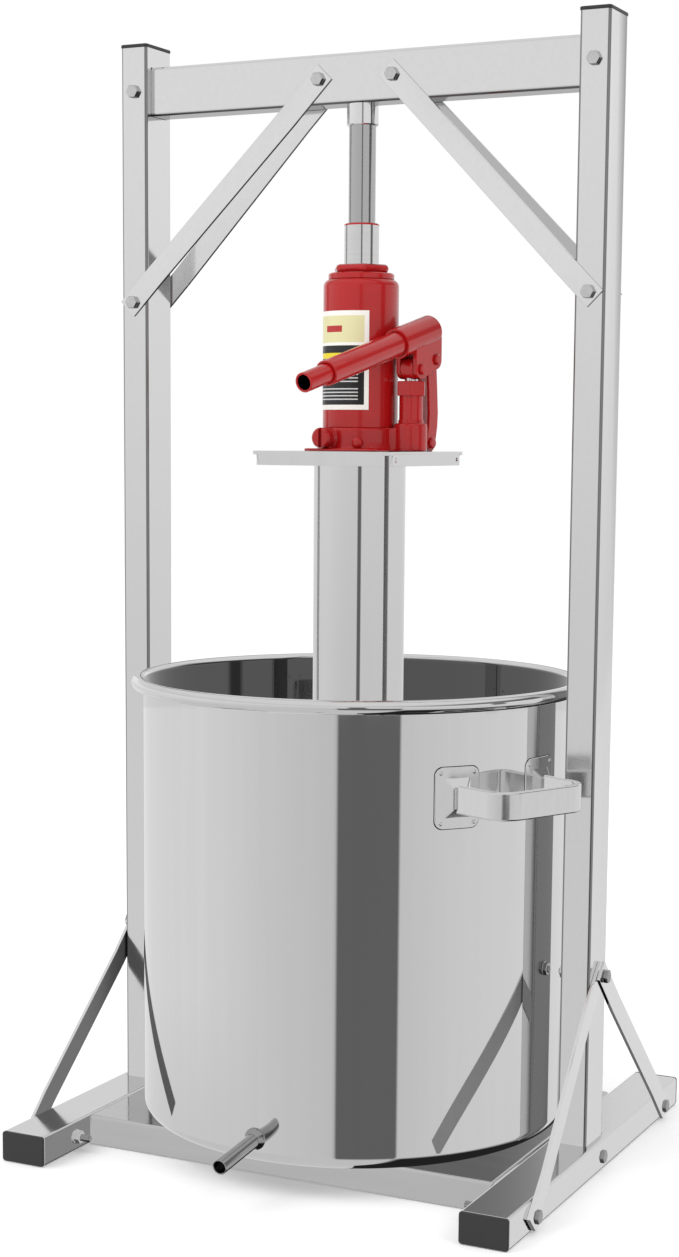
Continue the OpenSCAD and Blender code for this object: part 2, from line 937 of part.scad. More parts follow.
module jack_tank() {
    inner_r = tank_r - tank_wall;
    neck_r = piston_d / 2 + run_fit + barrel_wall + slip_fit;
    color(jack_red)
        translate([0, 0, tank_z])
            rotate_extrude()
                difference() {
                    union() {
                        square([tank_r, collar_z - tank_z - shoulder_r]);
                        square([tank_r - shoulder_r, collar_z - tank_z]);
                        translate([tank_r - shoulder_r, collar_z - tank_z - shoulder_r])
                            circle(shoulder_r);
                    }
                    translate([0, -cut])
                        square([inner_r, collar_z - tank_z - shoulder_r + cut]);
                    translate([0, -cut])
                        square([neck_r, collar_z - tank_z + 2 * cut]);
                }
}

module tank_nut() {
    color(jack_red)
        difference() {
            translate([0, 0, collar_z])
                union() {
                    cylinder(d = collar_d, h = collar_h);
                    translate([0, 0, collar_h])
                        intersection() {
                            hex(crown_af, crown_h);
                            cylinder(d1 = crown_af / cos(30) + crown_h, d2 = crown_af - 1, h = crown_h);
                        }
                }
            translate([0, 0, collar_z - cut])
                cylinder(d = ram_d + 2 * run_fit, h = collar_h + crown_h + 2 * cut);
        }
}

module pump_barrel() {
    color(jack_red)
        at_pump(pump_boss_h)
            pipe(barrel_d, plunger_d + 2 * run_fit, barrel_h);
}

module gland_nut() {
    color(jack_red)
        at_pump(pump_boss_h + barrel_h)
            difference() {
                hex(gland_af, gland_h);
                translate([0, 0, -cut])
                    cylinder(d = plunger_d + 2 * run_fit, h = gland_h + 2 * cut);
            }
}

// Cross pin with two heads outside a pair of cheeks
module headed_pin(cheeks_out) {
    x_rod(pin_d, 2 * cheeks_out);
    for (side = [-1, 1])
        translate([side * (cheeks_out + side_gap + pin_head_t / 2), 0, 0])
            x_rod(pin_head_d, pin_head_t);
    x_rod(pin_d, 2 * (cheeks_out + side_gap + pin_head_t / 2));
}

module lug_pin() {
    color(jack_red)
        at_pump(lug_pin_h)
            translate([0, link_offset, 0])
                headed_pin(link_out);
}

module filler_plug() {
    color(seal_black)
        difference() {
            translate([0, tank_r, tank_z + filler_rise - base_h])
                y_rod(filler_d, 2 * filler_t);
            translate([0, 0, jack_z])
                cylinder(r = tank_r + run_fit, h = jack_h);
        }
}

module drain_screw() {
    head_y = -sqrt(pow(base_boss_d / 2, 2) - pow(screw_x, 2));
    color(jack_red)
        translate([screw_x, head_y - screw_out, jack_z + screw_h])
            rotate([-90, 0, 0])
                cylinder(d = screw_d, h = -3 * base_boss_d / 4 / 2 - head_y + 2 * screw_out);
}

module rating_label() {
    color(label_cream)
        translate([0, 0, tank_z + label_low])
            rotate([0, 0, label_start - 90])
                rotate_extrude(angle = label_turn)
                    translate([tank_r + run_fit, 0])
                        square([label_t, label_high - label_low]);
}

// Ram

module ram_sleeve() {
    color(chrome)
        difference() {
            union() {
                translate([0, 0, ram_z])
                    cylinder(d = ram_d, h = ram_len);
                translate([0, 0, ram_z])
                    cylinder(d = piston_d, h = piston_h);
            }
            translate([0, 0, rod_seat])
                cylinder(d = rod_d + 2 * run_fit, h = ram_top - rod_seat + cut);
            translate([0, 0, ram_z + (piston_h - seal_h) / 2])
                pipe(piston_d + cut, piston_d - 2 * seal_t, seal_h);
        }
}

module piston_seal() {
    color(seal_black)
        translate([0, 0, ram_z + (piston_h - seal_h) / 2 + run_fit])
            pipe(piston_d, piston_d - 2 * seal_t + 2 * run_fit, seal_h - 2 * run_fit);
}

module ram_rod() {
    color(chrome)
        translate([0, 0, rod_z])
            cylinder(d = rod_d, h = rod_top - rod_z);
}

// Pump lever

module pump_plunger() {
    color(chrome)
        difference() {
            union() {
                at_pump(plunger_low)
                    cylinder(d = plunger_d, h = plunger_pin_h - plunger_low);
                at_pump(plunger_pin_h)
                    x_rod(knuckle_d, knuckle_w);
            }
            at_pump(plunger_pin_h)
                x_rod(pin_d + 2 * run_fit, knuckle_w + 2 * cut);
        }
}

// Frame of the handle: Z runs down along the handle, from above the plunger's pin
module at_handle() {
    at_pump(plunger_pin_h + socket_rise)
        rotate([90 + lever_slope, 0, 0])
            children();
}

module handle_socket() {
    color(jack_red)
        at_handle()
            translate([0, 0, -socket_back])
                difference() {
                    cylinder(d = socket_d, h = socket_back + socket_front);
                    translate([0, 0, socket_end_t])
                        cylinder(d = handle_d + 2 * handle_fit, h = socket_back + socket_front);
                }
}

module lever_ears() {
    ear_r = pin_d / 2 + 5;
    link_rise = link_pin_h - plunger_pin_h;
    color(jack_red)
        difference() {
            for (side = [-1, 1])
                at_pump(plunger_pin_h)
                    translate([side * (ear_in + ear_out) / 2 - ear_t / 2, 0, 0])
                        rotate([90, 0, 90])
                            linear_extrude(ear_t)
                                polygon([
                                    [-ear_r / 2, -ear_r], [ear_r / 2, -ear_r],
                                    [link_offset + ear_r / 2, link_rise - ear_r],
                                    [link_offset + ear_r, link_rise - ear_r / 2],
                                    [link_offset + ear_r, socket_rise + link_offset * tan(lever_slope)],
                                    [-ear_r, socket_rise - ear_r * tan(lever_slope)],
                                    [-ear_r, -ear_r / 2]
                                ]);
            at_handle()
                cylinder(d = socket_d + 2 * run_fit, h = 2 * handle_len, center = true);
            at_pump(plunger_pin_h)
                x_rod(pin_d + 2 * run_fit, 2 * ear_out + 2 * cut);
            at_pump(link_pin_h)
                translate([0, link_offset, 0])
                    x_rod(pin_d + 2 * open_pivot_gap, 2 * ear_out + 2 * cut);
        }
}

module plunger_pin() {
    color(jack_red)
        at_pump(plunger_pin_h)
            headed_pin(ear_out);
}

// Pair of link bars with a shallow bow to the rear
module link_bars() {
    rise = link_pin_h - lug_pin_h;
    color(jack_red)
        difference() {
            for (side = [-1, 1])
                at_pump(lug_pin_h)
                    translate([side * (link_in + link_out) / 2 - link_t / 2, link_offset, 0])
                        rotate([90, 0, 90])
                            linear_extrude(link_t)
                                union() {
                                    circle(d = link_w);
                                    translate([0, rise])
                                        circle(d = link_w);
                                    polygon([
                                        [-link_w / 2, 0],
                                        [link_w / 2, 0],
                                        [link_w / 2 + link_bow, rise / 3],
                                        [link_w / 2, rise],
                                        [-link_w / 2, rise],
                                        [-link_w / 2 + link_bow, rise / 3]
                                    ]);
                                }
            for (h = [lug_pin_h, link_pin_h])
                at_pump(h)
                    translate([0, link_offset, 0])
                        x_rod(pin_d + 2 * run_fit, 2 * link_out + 2 * cut);
        }
}

module link_pin() {
    color(jack_red)
        at_pump(link_pin_h)
            translate([0, link_offset, 0])
                headed_pin(ear_out);
}

module pump_handle() {
    color(jack_red)
        at_handle()
            translate([0, 0, -handle_in])
                pipe(handle_d, handle_d - 2 * handle_wall, handle_in + handle_len - tip_len);
}

module handle_tip() {
    color(jack_red)
        at_handle()
            translate([0, 0, handle_len - tip_len - tip_in])
                pipe(tip_d, tip_d - 2 * tip_wall, tip_len + tip_in);
}

module release_valve() {
    front = -valve_boss_len - rest_gap;
    color(jack_red)
        difference() {
            translate([valve_x, front, jack_z + valve_h])
                rotate([90, 0, 0]) {
                    cylinder(d = valve_knob_d, h = valve_knob_len);
                    translate([0, 0, -valve_stem_in])
                        cylinder(d = valve_stem_d, h = valve_stem_in + cut);
                }
            translate([valve_x, front - valve_knob_len, jack_z + valve_h])
                cube([valve_slot_w, 2 * valve_slot_depth, valve_knob_d + cut], center = true);
        }
}

base_pan();
left_foot();
right_foot();
foot_caps();
left_upright();
right_upright();
upright_caps();
crossbeam();
ram_cup();
top_brace_front_left();
top_brace_front_right();
top_brace_rear_left();
top_brace_rear_right();
base_brace_front_left();
base_brace_front_right();
base_brace_rear_left();
base_brace_rear_right();
top_bolts();
top_washers();
top_nuts();
base_bolts();
base_washers();
base_nuts();
pot_shell();
pot_bottom();
pot_spout();
spout_collar();
pot_handle_right();
pot_handle_left();
handle_pads();
pad_rivets();
strainer_basket();
basket_bottom();
press_disc();
disc_flange();
press_column();
jack_plate();
jack_base();
jack_cylinder();
jack_tank();
tank_nut();
pump_barrel();
gland_nut();
lug_pin();
filler_plug();
drain_screw();
rating_label();
ram_sleeve();
piston_seal();
ram_rod();
pump_plunger();
handle_socket();
lever_ears();
plunger_pin();
link_bars();
link_pin();
pump_handle();
handle_tip();
release_valve();
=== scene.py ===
import logging
import math
from dataclasses import dataclass, replace
from enum import Enum
from typing import Dict, Iterable, List, Optional, Sequence, Tuple

import bpy
from mathutils import Matrix, Vector


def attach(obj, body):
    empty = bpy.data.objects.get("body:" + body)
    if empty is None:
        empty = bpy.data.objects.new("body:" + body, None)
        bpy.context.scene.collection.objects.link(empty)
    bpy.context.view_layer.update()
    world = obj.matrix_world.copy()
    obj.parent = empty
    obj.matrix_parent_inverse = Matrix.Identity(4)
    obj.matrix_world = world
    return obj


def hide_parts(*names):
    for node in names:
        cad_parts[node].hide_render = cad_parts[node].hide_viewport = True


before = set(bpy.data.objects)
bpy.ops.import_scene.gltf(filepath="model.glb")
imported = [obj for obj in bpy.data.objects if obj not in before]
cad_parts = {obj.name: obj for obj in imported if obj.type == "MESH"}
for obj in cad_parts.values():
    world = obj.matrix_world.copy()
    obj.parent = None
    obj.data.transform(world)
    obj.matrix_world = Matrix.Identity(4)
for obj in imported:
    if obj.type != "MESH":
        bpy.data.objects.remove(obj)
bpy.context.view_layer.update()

LOG = logging.getLogger("fruit_press")
MM = 0.001
# Points nearer to each other than this are one
WELD = 0.002 * MM
# Pattern factors between which a surface goes from one roughness to the other
FAINT_MARK = 0.3
FULL_MARK = 0.7
Point = Tuple[float, ...]
Points = Tuple[Point, ...]
# Place under a bolt's head, its grip and its thread past the nut
Seat = Tuple[Matrix, float, float]


class Body(str, Enum):
    """Moving groups of the press, by their CAD names."""

    FRAME = "frame"
    POT = "pot"
    HEAD = "press_head"
    RAM = "ram"
    ROD = "rod"
    PLUNGER = "plunger"
    LEVER = "lever"
    LINK = "link"
    HANDLE = "handle"
    VALVE = "valve"


class Look(Enum):
    """Finishes of the press: the record's material slot, and the variant within it."""

    FRAME = ("frame_stainless", "drawn tube")
    # Painted shade: the variants down to the stays are darker below, in front, to the pot and on corners
    BEAM = ("frame_stainless", "drawn tube, dull below")
    UPRIGHT = ("frame_stainless", "drawn tube, dull corners")
    POST = ("frame_stainless", "drawn tube, dull corners and inside")
    BRACE = ("frame_stainless", "sheared bar")
    DULL_BRACE = ("frame_stainless", "sheared bar, dull in front")
    STAY = ("frame_stainless", "sheared bar, dull inside")
    SATIN_STAY = ("frame_stainless", "sheared bar, satin inside")
    PAN = ("pan_stainless", "sheet")
    # Painted shade: dark grey inside the pot
    POT = ("pot_stainless", "mirror")
    SATIN = ("pot_stainless", "satin")
    # Painted shade: a darker grey copy of the pot's steel
    BASKET = ("pot_stainless", "dull")
    # Painted shade: the hardware is dark below, and the dull bolts are a darker copy
    BOLT = ("bolt_steel", "plain")
    DULL_BOLT = ("bolt_steel", "dull")
    # Painted shadow round the pads, and a dark lining inside the handle's tip
    BARE = ("bolt_steel", "oiled")
    CAP = ("cap_plastic", "moulded")
    ENAMEL = ("jack_enamel", "sprayed")
    RAM = ("ram_chrome", "plated")
    ROD = ("ram_chrome", "ground")
    LABEL = ("label_paper", "printed")
    RUBBER = ("seal_rubber", "moulded")

    @property
    def slot(self) -> str:
        """Name of the material slot."""
        return self.value[0]


class Facing(Enum):
    """Faces that can get painted shade of their own: which, and where their measure starts and is full.

    The measure is taken from the normal, and for INWARD it is the normal times the way from the press's
    axis in metres.
    """

    BELOW = ("slopes downwards", -0.3, -0.5)
    FORWARD = ("looks to the front", -0.6, -0.8)
    INWARD = ("looks at the press's axis", -0.155, -0.172)
    CORNER = ("is an upright rounded corner", 0.1, 0.25)


class Band(Enum):
    """Bands of the studio's surroundings, one over the other."""

    LOW = "under the horizon"
    HIGH = "over the horizon"
    SKY = "over the lamps"
    CEILING = "overhead"
    FOOT = "near the floor"
    GROUND = "floor around the press"


# Modelling bench


def mm(point: Sequence[float]) -> Vector:
    """Turns a point in millimetres into a vector in metres.

    Args:
        point: Two or three coordinates; a missing third one is 0.

    Returns:
        The vector in metres.
    """
    x, y, z = (tuple(point) + (0.0,))[:3]
    return Vector((x * MM, y * MM, z * MM))


def fresh() -> None:
    """Goes back to object mode with nothing selected."""
    if bpy.context.object is not None and bpy.context.object.mode != "OBJECT":
        bpy.ops.object.mode_set(mode="OBJECT")
    bpy.ops.object.select_all(action="DESELECT")


def only(obj: bpy.types.Object) -> None:
    """Selects one object and makes it active.

    Args:
        obj: The object to work on.
    """
    fresh()
    obj.select_set(True)
    bpy.context.view_layer.objects.active = obj


def edit(obj: bpy.types.Object) -> None:
    """Opens an object in edit mode with its whole mesh selected.

    Args:
        obj: The object to edit.
    """
    only(obj)
    bpy.ops.object.mode_set(mode="EDIT")
    bpy.ops.mesh.select_all(action="SELECT")


def close_edit() -> None:
    """Turns normals outwards and leaves edit mode."""
    bpy.ops.mesh.select_all(action="SELECT")
    bpy.ops.mesh.normals_make_consistent(inside=False)
    bpy.ops.object.mode_set(mode="OBJECT")


def trace(name: str, points: Sequence[Point]) -> bpy.types.Object:
    """Draws a chain of edges by extruding one point from place to place, and stays in edit mode.

    Args:
        name: Name of the new object.
        points: The chain's points in millimetres.

    Returns:
        The object, in edit mode.
    """
    fresh()
    bpy.ops.mesh.primitive_plane_add(size=MM)
    obj = bpy.context.active_object
    obj.name = name
    bpy.ops.object.mode_set(mode="EDIT")
    bpy.ops.mesh.select_all(action="SELECT")
    bpy.ops.mesh.merge(type="CENTER")
    bpy.ops.transform.translate(value=mm(points[0]))
    for a, b in zip(points, points[1:]):
        bpy.ops.mesh.extrude_region_move(TRANSFORM_OT_translate={"value": mm(b) - mm(a)})
    return obj


def lathe(name: str, profile: Sequence[Point], steps: int = 96, closed: bool = False,
          sweep: float = 360.0, start: float = 0.0) -> bpy.types.Object:
    """Spins a profile about Z.

    Args:
        name: Name of the new object.
        profile: Points (radius, height) in millimetres.
        steps: Faces around.
        closed: Whether the profile's end joins its start, as in a ring.
        sweep: Angle to spin through in degrees.
        start: Angle in degrees where the spin starts.

    Returns:
        The finished object.
    """
    c, s = math.cos(math.radians(start)), math.sin(math.radians(start))
    chain = list(profile) + ([profile[0]] if closed else [])
    obj = trace(name, [(r * c, r * s, z) for r, z in chain])
    bpy.ops.mesh.select_all(action="SELECT")
    bpy.ops.mesh.spin(steps=steps, angle=math.radians(-sweep), center=(0, 0, 0), axis=(0, 0, 1))
    bpy.ops.mesh.select_all(action="SELECT")
    bpy.ops.mesh.remove_doubles(threshold=WELD)
    if sweep < 360.0:
        bpy.ops.mesh.select_all(action="DESELECT")
        bpy.ops.mesh.select_non_manifold()
        bpy.ops.mesh.fill_holes(sides=0)
    close_edit()
    return obj


def prism(name: str, outline: Sequence[Point], depth: float) -> bpy.types.Object:
    """Extrudes a flat outline along +Z from z = 0.

    Args:
        name: Name of the new object.
        outline: Corner points (x, y) in millimetres, in order.
        depth: Height in millimetres.

    Returns:
        The finished object.
    """
    obj = trace(name, outline)
    bpy.ops.mesh.select_all(action="SELECT")
    bpy.ops.mesh.edge_face_add()
    bpy.ops.mesh.extrude_region_move(TRANSFORM_OT_translate={"value": (0, 0, depth * MM)})
    close_edit()
    return obj


def block(name: str, low: Point, high: Point) -> bpy.types.Object:
    """Makes a box between two corners.

    Args:
        name: Name of the new object.
        low: Lowest corner in millimetres.
        high: Highest corner in millimetres.

    Returns:
        The finished object.
    """
    fresh()
    a, b = mm(low), mm(high)
    bpy.ops.mesh.primitive_cube_add(size=1, location=(a + b) / 2)
    obj = bpy.context.active_object
    obj.name = name
    obj.scale = b - a
    settle(obj)
    return obj


def hexagon(name: str, flats: float, height: float, chamfer: float) -> bpy.types.Object:
    """Makes a hexagonal prism on z = 0 with a chamfered top, corners along X.

    Args:
        name: Name of the new object.
        flats: Width across flats in millimetres.
        height: Height in millimetres.
        chamfer: Width of the top chamfer in millimetres.

    Returns:
        The finished object.
    """
    fresh()
    bpy.ops.mesh.primitive_cylinder_add(vertices=6, radius=flats / 2 / math.cos(math.pi / 6) * MM,
                                        depth=height * MM, location=(0, 0, height / 2 * MM),
                                        rotation=(0, 0, math.pi / 2))
    obj = bpy.context.active_object
    obj.name = name
    settle(obj)
    soften(obj, chamfer, angle=40.0)
    return obj


def settle(obj: bpy.types.Object, place: Optional[Matrix] = None) -> bpy.types.Object:
    """Moves an object's place, turn and scale into its mesh.

    Args:
        obj: The object.
        place: Matrix to move it by first, with lengths in metres.

    Returns:
        The same object.
    """
    only(obj)
    if place is not None:
        obj.matrix_world = place @ obj.matrix_world
    bpy.ops.object.transform_apply(location=True, rotation=True, scale=True)
    if place is not None and place.determinant() < 0:
        edit(obj)
        close_edit()
    return obj


def soften(obj: bpy.types.Object, width: float, segments: int = 2, angle: float = 30.0) -> bpy.types.Object:
    """Rounds an object's sharp edges.

    Args:
        obj: The object.
        width: Width of the rounding in millimetres.
        segments: Faces across the rounding.
        angle: Edges sharper than this many degrees are rounded.

    Returns:
        The same object.
    """
    only(obj)
    bevel = obj.modifiers.new("soften", "BEVEL")
    bevel.width = width * MM
    bevel.segments = segments
    bevel.limit_method = "ANGLE"
    bevel.angle_limit = math.radians(angle)
    bpy.ops.object.modifier_apply(modifier=bevel.name)
    return obj


def cut(obj: bpy.types.Object, tool: bpy.types.Object, operation: str = "DIFFERENCE") -> bpy.types.Object:
    """Cuts one object with another and removes the tool.

    Args:
        obj: The object that stays.
        tool: The object that it is cut with.
        operation: "DIFFERENCE" takes the tool away, "INTERSECT" keeps what lies inside it, "UNION" adds it.

    Returns:
        The object that stays.
    """
    only(obj)
    boolean = obj.modifiers.new("cut", "BOOLEAN")
    boolean.operation = operation
    boolean.solver = "EXACT"
    boolean.object = tool
    bpy.ops.object.modifier_apply(modifier=boolean.name)
    bpy.data.objects.remove(tool)
    return obj


def copy(obj: bpy.types.Object, name: str, place: Optional[Matrix] = None) -> bpy.types.Object:
    """Copies an object with a mesh of its own.

    Args:
        obj: The object to copy.
        name: Name of the copy.
        place: Matrix to move the copy by.

    Returns:
        The copy.
    """
    only(obj)
    bpy.ops.object.duplicate(linked=False)
    twin = bpy.context.active_object
    twin.name = name
    return settle(twin, place)


def join(name: str, objs: Sequence[bpy.types.Object]) -> bpy.types.Object:
    """Joins objects into one mesh.

    Args:
        name: Name of the result.
        objs: The objects.

    Returns:
        The joined object.
    """
    only(objs[0])
    for obj in objs[1:]:
        obj.select_set(True)
    if len(objs) > 1:
        bpy.ops.object.join()
    joined = bpy.context.active_object
    joined.name = name
    return joined


def array_of(obj: bpy.types.Object, name: str, places: Iterable[Matrix]) -> bpy.types.Object:
    """Copies one model to several places as one piece and removes the model.

    Args:
        obj: The model.
        name: Name of the piece.
        places: Where the copies go.

    Returns:
        The piece.
    """
    twins = [copy(obj, f"{name}_{i}", place) for i, place in enumerate(places)]
    bpy.data.objects.remove(obj)
    return join(name, twins)


def smooth(obj: bpy.types.Object, angle: float = 35.0) -> None:
    """Shades an object smooth except at sharp edges.

    Args:
        obj: The object.
        angle: Edges sharper than this many degrees stay sharp.
    """
    only(obj)
    bpy.ops.object.shade_smooth_by_angle(angle=math.radians(angle))


def flatten(obj: bpy.types.Object) -> None:
    """Keeps the shading of flat faces flat next to rounded edges.

    Args:
        obj: The object.
    """
    only(obj)
    weigh = obj.modifiers.new("flatten", "WEIGHTED_NORMAL")
    weigh.keep_sharp = True
    bpy.ops.object.modifier_apply(modifier=weigh.name)


def arc(cx: float, cy: float, r: float, a0: float, a1: float, n: int = 8) -> List[Point]:
    """Points of a circular arc.

    Args:
        cx: First coordinate of the centre.
        cy: Second coordinate of the centre.
        r: Radius.
        a0: Start angle in degrees.
        a1: End angle in degrees.
        n: Steps along the arc.

    Returns:
        The points, both ends included.
    """
    turns = [math.radians(a0 + (a1 - a0) * i / n) for i in range(n + 1)]
    return [(cx + r * math.cos(t), cy + r * math.sin(t)) for t in turns]


def rounded_outline(w: float, h: float, r: float, cx: float = 0.0, cy: float = 0.0) -> List[Point]:
    """Outline of a rectangle with round corners.

    Args:
        w: Width.
        h: Height.
        r: Corner radius.
        cx: First coordinate of the centre.
        cy: Second coordinate of the centre.

    Returns:
        The outline's points, counter-clockwise.
    """
    x, y = w / 2 - r, h / 2 - r
    return (arc(cx + x, cy + y, r, 0, 90) + arc(cx - x, cy + y, r, 90, 180)
            + arc(cx - x, cy - y, r, 180, 270) + arc(cx + x, cy - y, r, 270, 360))


def raised(profile: Sequence[Point], height: float) -> List[Point]:
    """Lifts a profile.

    Args:
        profile: Points (radius, height).
        height: Distance to lift it by.

    Returns:
        The lifted points.
    """
    return [(r, z + height) for r, z in profile]


def move(x: float, y: float, z: float) -> Matrix:
    """Matrix that moves by millimetres.

    Args:
        x: Distance along X.
        y: Distance along Y.
        z: Distance along Z.

    Returns:
        The matrix.
    """
    return Matrix.Translation(mm((x, y, z)))


def turn(degrees: float, axis: str) -> Matrix:
    """Matrix that turns about a main axis.

    Args:
        degrees: Angle by the right-hand rule.
        axis: "X", "Y" or "Z".

    Returns:
        The matrix.
    """
    return Matrix.Rotation(math.radians(degrees), 4, axis)


def flip(axis: str) -> Matrix:
    """Matrix that mirrors along a main axis.

    Args:
        axis: "X", "Y" or "Z".

    Returns:
        The matrix.
    """
    return Matrix.Scale(-1.0, 4, Vector([float(axis == a) for a in "XYZ"]))


def rod(name: str, r: float, z0: float, z1: float, chamfer: float = 0.5, steps: int = 48,
        bore: float = 0.0) -> bpy.types.Object:
    """Makes a round bar or pipe along Z with chamfered ends.

    Args:
        name: Name of the new object.
        r: Outer radius in millimetres.
        z0: Lower end.
        z1: Upper end.
        chamfer: Size of the end chamfers.
        steps: Faces around.
        bore: Radius of the bore, 0 for a solid bar.

    Returns:
        The finished object.
    """
    outer = [(r - chamfer, z0), (r, z0 + chamfer), (r, z1 - chamfer), (r - chamfer, z1)]
    if bore:
        edge = min(chamfer, (r - bore) / 3)
        inner = [(bore + edge, z1), (bore, z1 - edge), (bore, z0 + edge), (bore + edge, z0)]
        return lathe(name, outer + inner, steps, closed=True)
    return lathe(name, [(0, z0)] + outer + [(0, z1)], steps)


# Materials


def srgb(code: str) -> Tuple[float, float, float, float]:
    """Turns an sRGB hex colour into linear RGBA.

    Args:
        code: Colour such as "#b83034".

    Returns:
        The linear colour.
    """
    parts = [int(code[i:i + 2], 16) / 255 for i in (1, 3, 5)]
    return tuple([c / 12.92 if c <= 0.04045 else ((c + 0.055) / 1.055) ** 2.4 for c in parts] + [1.0])


def add_node(tree: bpy.types.NodeTree, kind: str, values: Optional[Dict[str, object]] = None,
             **settings: object) -> bpy.types.Node:
    """Adds a node, sets its properties, and fills or links its inputs.

    Args:
        tree: The node tree.
        kind: Node type.
        values: Input name to a value, or to an output socket to link from.
        **settings: Node properties.

    Returns:
        The node.
    """
    node = tree.nodes.new(kind)
    for key, value in settings.items():
        setattr(node, key, value)
    for key, value in (values or {}).items():
        socket = node.inputs[int(key)] if key.isdigit() else node.inputs[key]
        if isinstance(value, bpy.types.NodeSocket):
            tree.links.new(value, socket)
        else:
            socket.default_value = value
    return node


def start_material(name: str) -> Tuple[bpy.types.Material, bpy.types.NodeTree, bpy.types.Node]:
    """Makes a material with an empty surface.

    Args:
        name: Name of the material.

    Returns:
        The material, its tree and its Principled node.
    """
    material = bpy.data.materials.new(name)
    material.use_nodes = True
    tree = material.node_tree
    return material, tree, tree.nodes["Principled BSDF"]


def surface_marks(tree: bpy.types.NodeTree, spacing: float, stretch: Point = (1, 1, 1), detail: float = 3.0
                  ) -> bpy.types.NodeSocket:
    """Adds a pattern of polishing marks, flow or grain in Object coordinates.

    Args:
        tree: The node tree.
        spacing: Distance between the marks in millimetres.
        stretch: Marks per spacing along each axis, under 1 for long marks.
        detail: Octaves.

    Returns:
        Socket of the pattern's factor.
    """
    coords = add_node(tree, "ShaderNodeTexCoord")
    mapping = add_node(tree, "ShaderNodeMapping", {"Vector": coords.outputs["Object"], "Scale": stretch})
    pattern = {"Vector": mapping.outputs["Vector"], "Scale": 1 / (spacing * MM), "Detail": detail}
    return add_node(tree, "ShaderNodeTexNoise", pattern).outputs["Fac"]


def tone_and_gloss(tree: bpy.types.NodeTree, marks: bpy.types.NodeSocket, tones: Tuple[str, str],
                   rough: Tuple[float, float]) -> Tuple[bpy.types.NodeSocket, bpy.types.NodeSocket]:
    """Varies a surface's tone and roughness with its marks.

    Args:
        tree: The node tree.
        marks: Socket of the marks' factor.
        tones: sRGB tones between and on the marks.
        rough: Roughness between and on the marks.

    Returns:
        Sockets of the colour and of the roughness.
    """
    tone = add_node(tree, "ShaderNodeMix", {"0": marks, "6": srgb(tones[0]), "7": srgb(tones[1])},
                    data_type="RGBA")
    gloss = add_node(tree, "ShaderNodeMapRange",
                     {"Value": marks, "From Min": FAINT_MARK, "From Max": FULL_MARK,
                      "To Min": rough[0], "To Max": rough[1]})
    return tone.outputs[2], gloss.outputs["Result"]


@dataclass(frozen=True)
class Steel:
    """Stainless or plated steel: drawn tube, polished sheet or ground bar.

    Attributes:
        name: Name of the material.
        light: Brighter tint.
        dark: Darker tint.
        rough: Lowest and highest roughness.
        spacing: Distance between the polishing marks in millimetres.
        grain: Marks per spacing along each axis, under 1 for long marks.
        bump: Strength of the marks' relief.
        relief: Depth of the marks in millimetres.
        tints: Painted shade: darker colours of faces that differ from the rest.
        dull: Extra roughness of the faces with the first of these tints.
    """

    name: str
    light: str
    dark: str
    rough: Tuple[float, float]
    spacing: float
    grain: Point = (1, 1, 1)
    bump: float = 0.0
    relief: float = 0.2
    tints: Tuple[Tuple[Facing, str], ...] = ()
    dull: float = 0.0

    @staticmethod
    def _share(tree: bpy.types.NodeTree, facing: Facing) -> bpy.types.NodeSocket:
        """Adds the nodes that pick out the faces that get painted shade.

        Args:
            tree: The node tree.
            facing: The faces.

        Returns:
            Socket that is 1 on these faces and 0 on others.
        """
        coords = add_node(tree, "ShaderNodeTexCoord")
        way = add_node(tree, "ShaderNodeSeparateXYZ", {"Vector": coords.outputs["Normal"]})
        value = way.outputs["Y" if facing is Facing.FORWARD else "Z"]
        if facing is Facing.CORNER:
            slant = add_node(tree, "ShaderNodeMath", {"0": way.outputs["X"], "1": way.outputs["Y"]},
                             operation="MULTIPLY")
            value = add_node(tree, "ShaderNodeMath", {"0": slant.outputs[0]}, operation="ABSOLUTE").outputs[0]
        elif facing is Facing.INWARD:
            reach = add_node(tree, "ShaderNodeVectorMath", {"0": coords.outputs["Object"], "1": (1, 1, 0)},
                             operation="MULTIPLY")
            value = add_node(tree, "ShaderNodeVectorMath",
                             {"0": coords.outputs["Normal"], "1": reach.outputs["Vector"]},
                             operation="DOT_PRODUCT").outputs["Value"]
        _, start, full = facing.value
        share = add_node(tree, "ShaderNodeMapRange", {"Value": value, "From Min": start, "From Max": full})
        return share.outputs["Result"]

    def build(self) -> bpy.types.Material:
        """Builds the material.

        Returns:
            The material.
        """
        material, tree, surface = start_material(self.name)
        marks = surface_marks(tree, self.spacing, self.grain)
        surface.inputs["Metallic"].default_value = 1.0
        tint, rough = tone_and_gloss(tree, marks, (self.light, self.dark), self.rough)
        # Painted shade: each picked face gets its darker colour mixed in
        for i, (facing, code) in enumerate(self.tints):
            share = self._share(tree, facing)
            tint = add_node(tree, "ShaderNodeMix", {"0": share, "6": tint, "7": srgb(code)},
                            data_type="RGBA").outputs[2]
            if self.dull and i == 0:
                rough = add_node(tree, "ShaderNodeMath", {"0": share, "1": self.dull, "2": rough},
                                 operation="MULTIPLY_ADD").outputs[0]
        tree.links.new(tint, surface.inputs["Base Color"])
        tree.links.new(rough, surface.inputs["Roughness"])
        if self.bump:
            relief = add_node(tree, "ShaderNodeBump",
                              {"Height": marks, "Strength": self.bump, "Distance": self.relief * MM})
            tree.links.new(relief.outputs["Normal"], surface.inputs["Normal"])
        return material


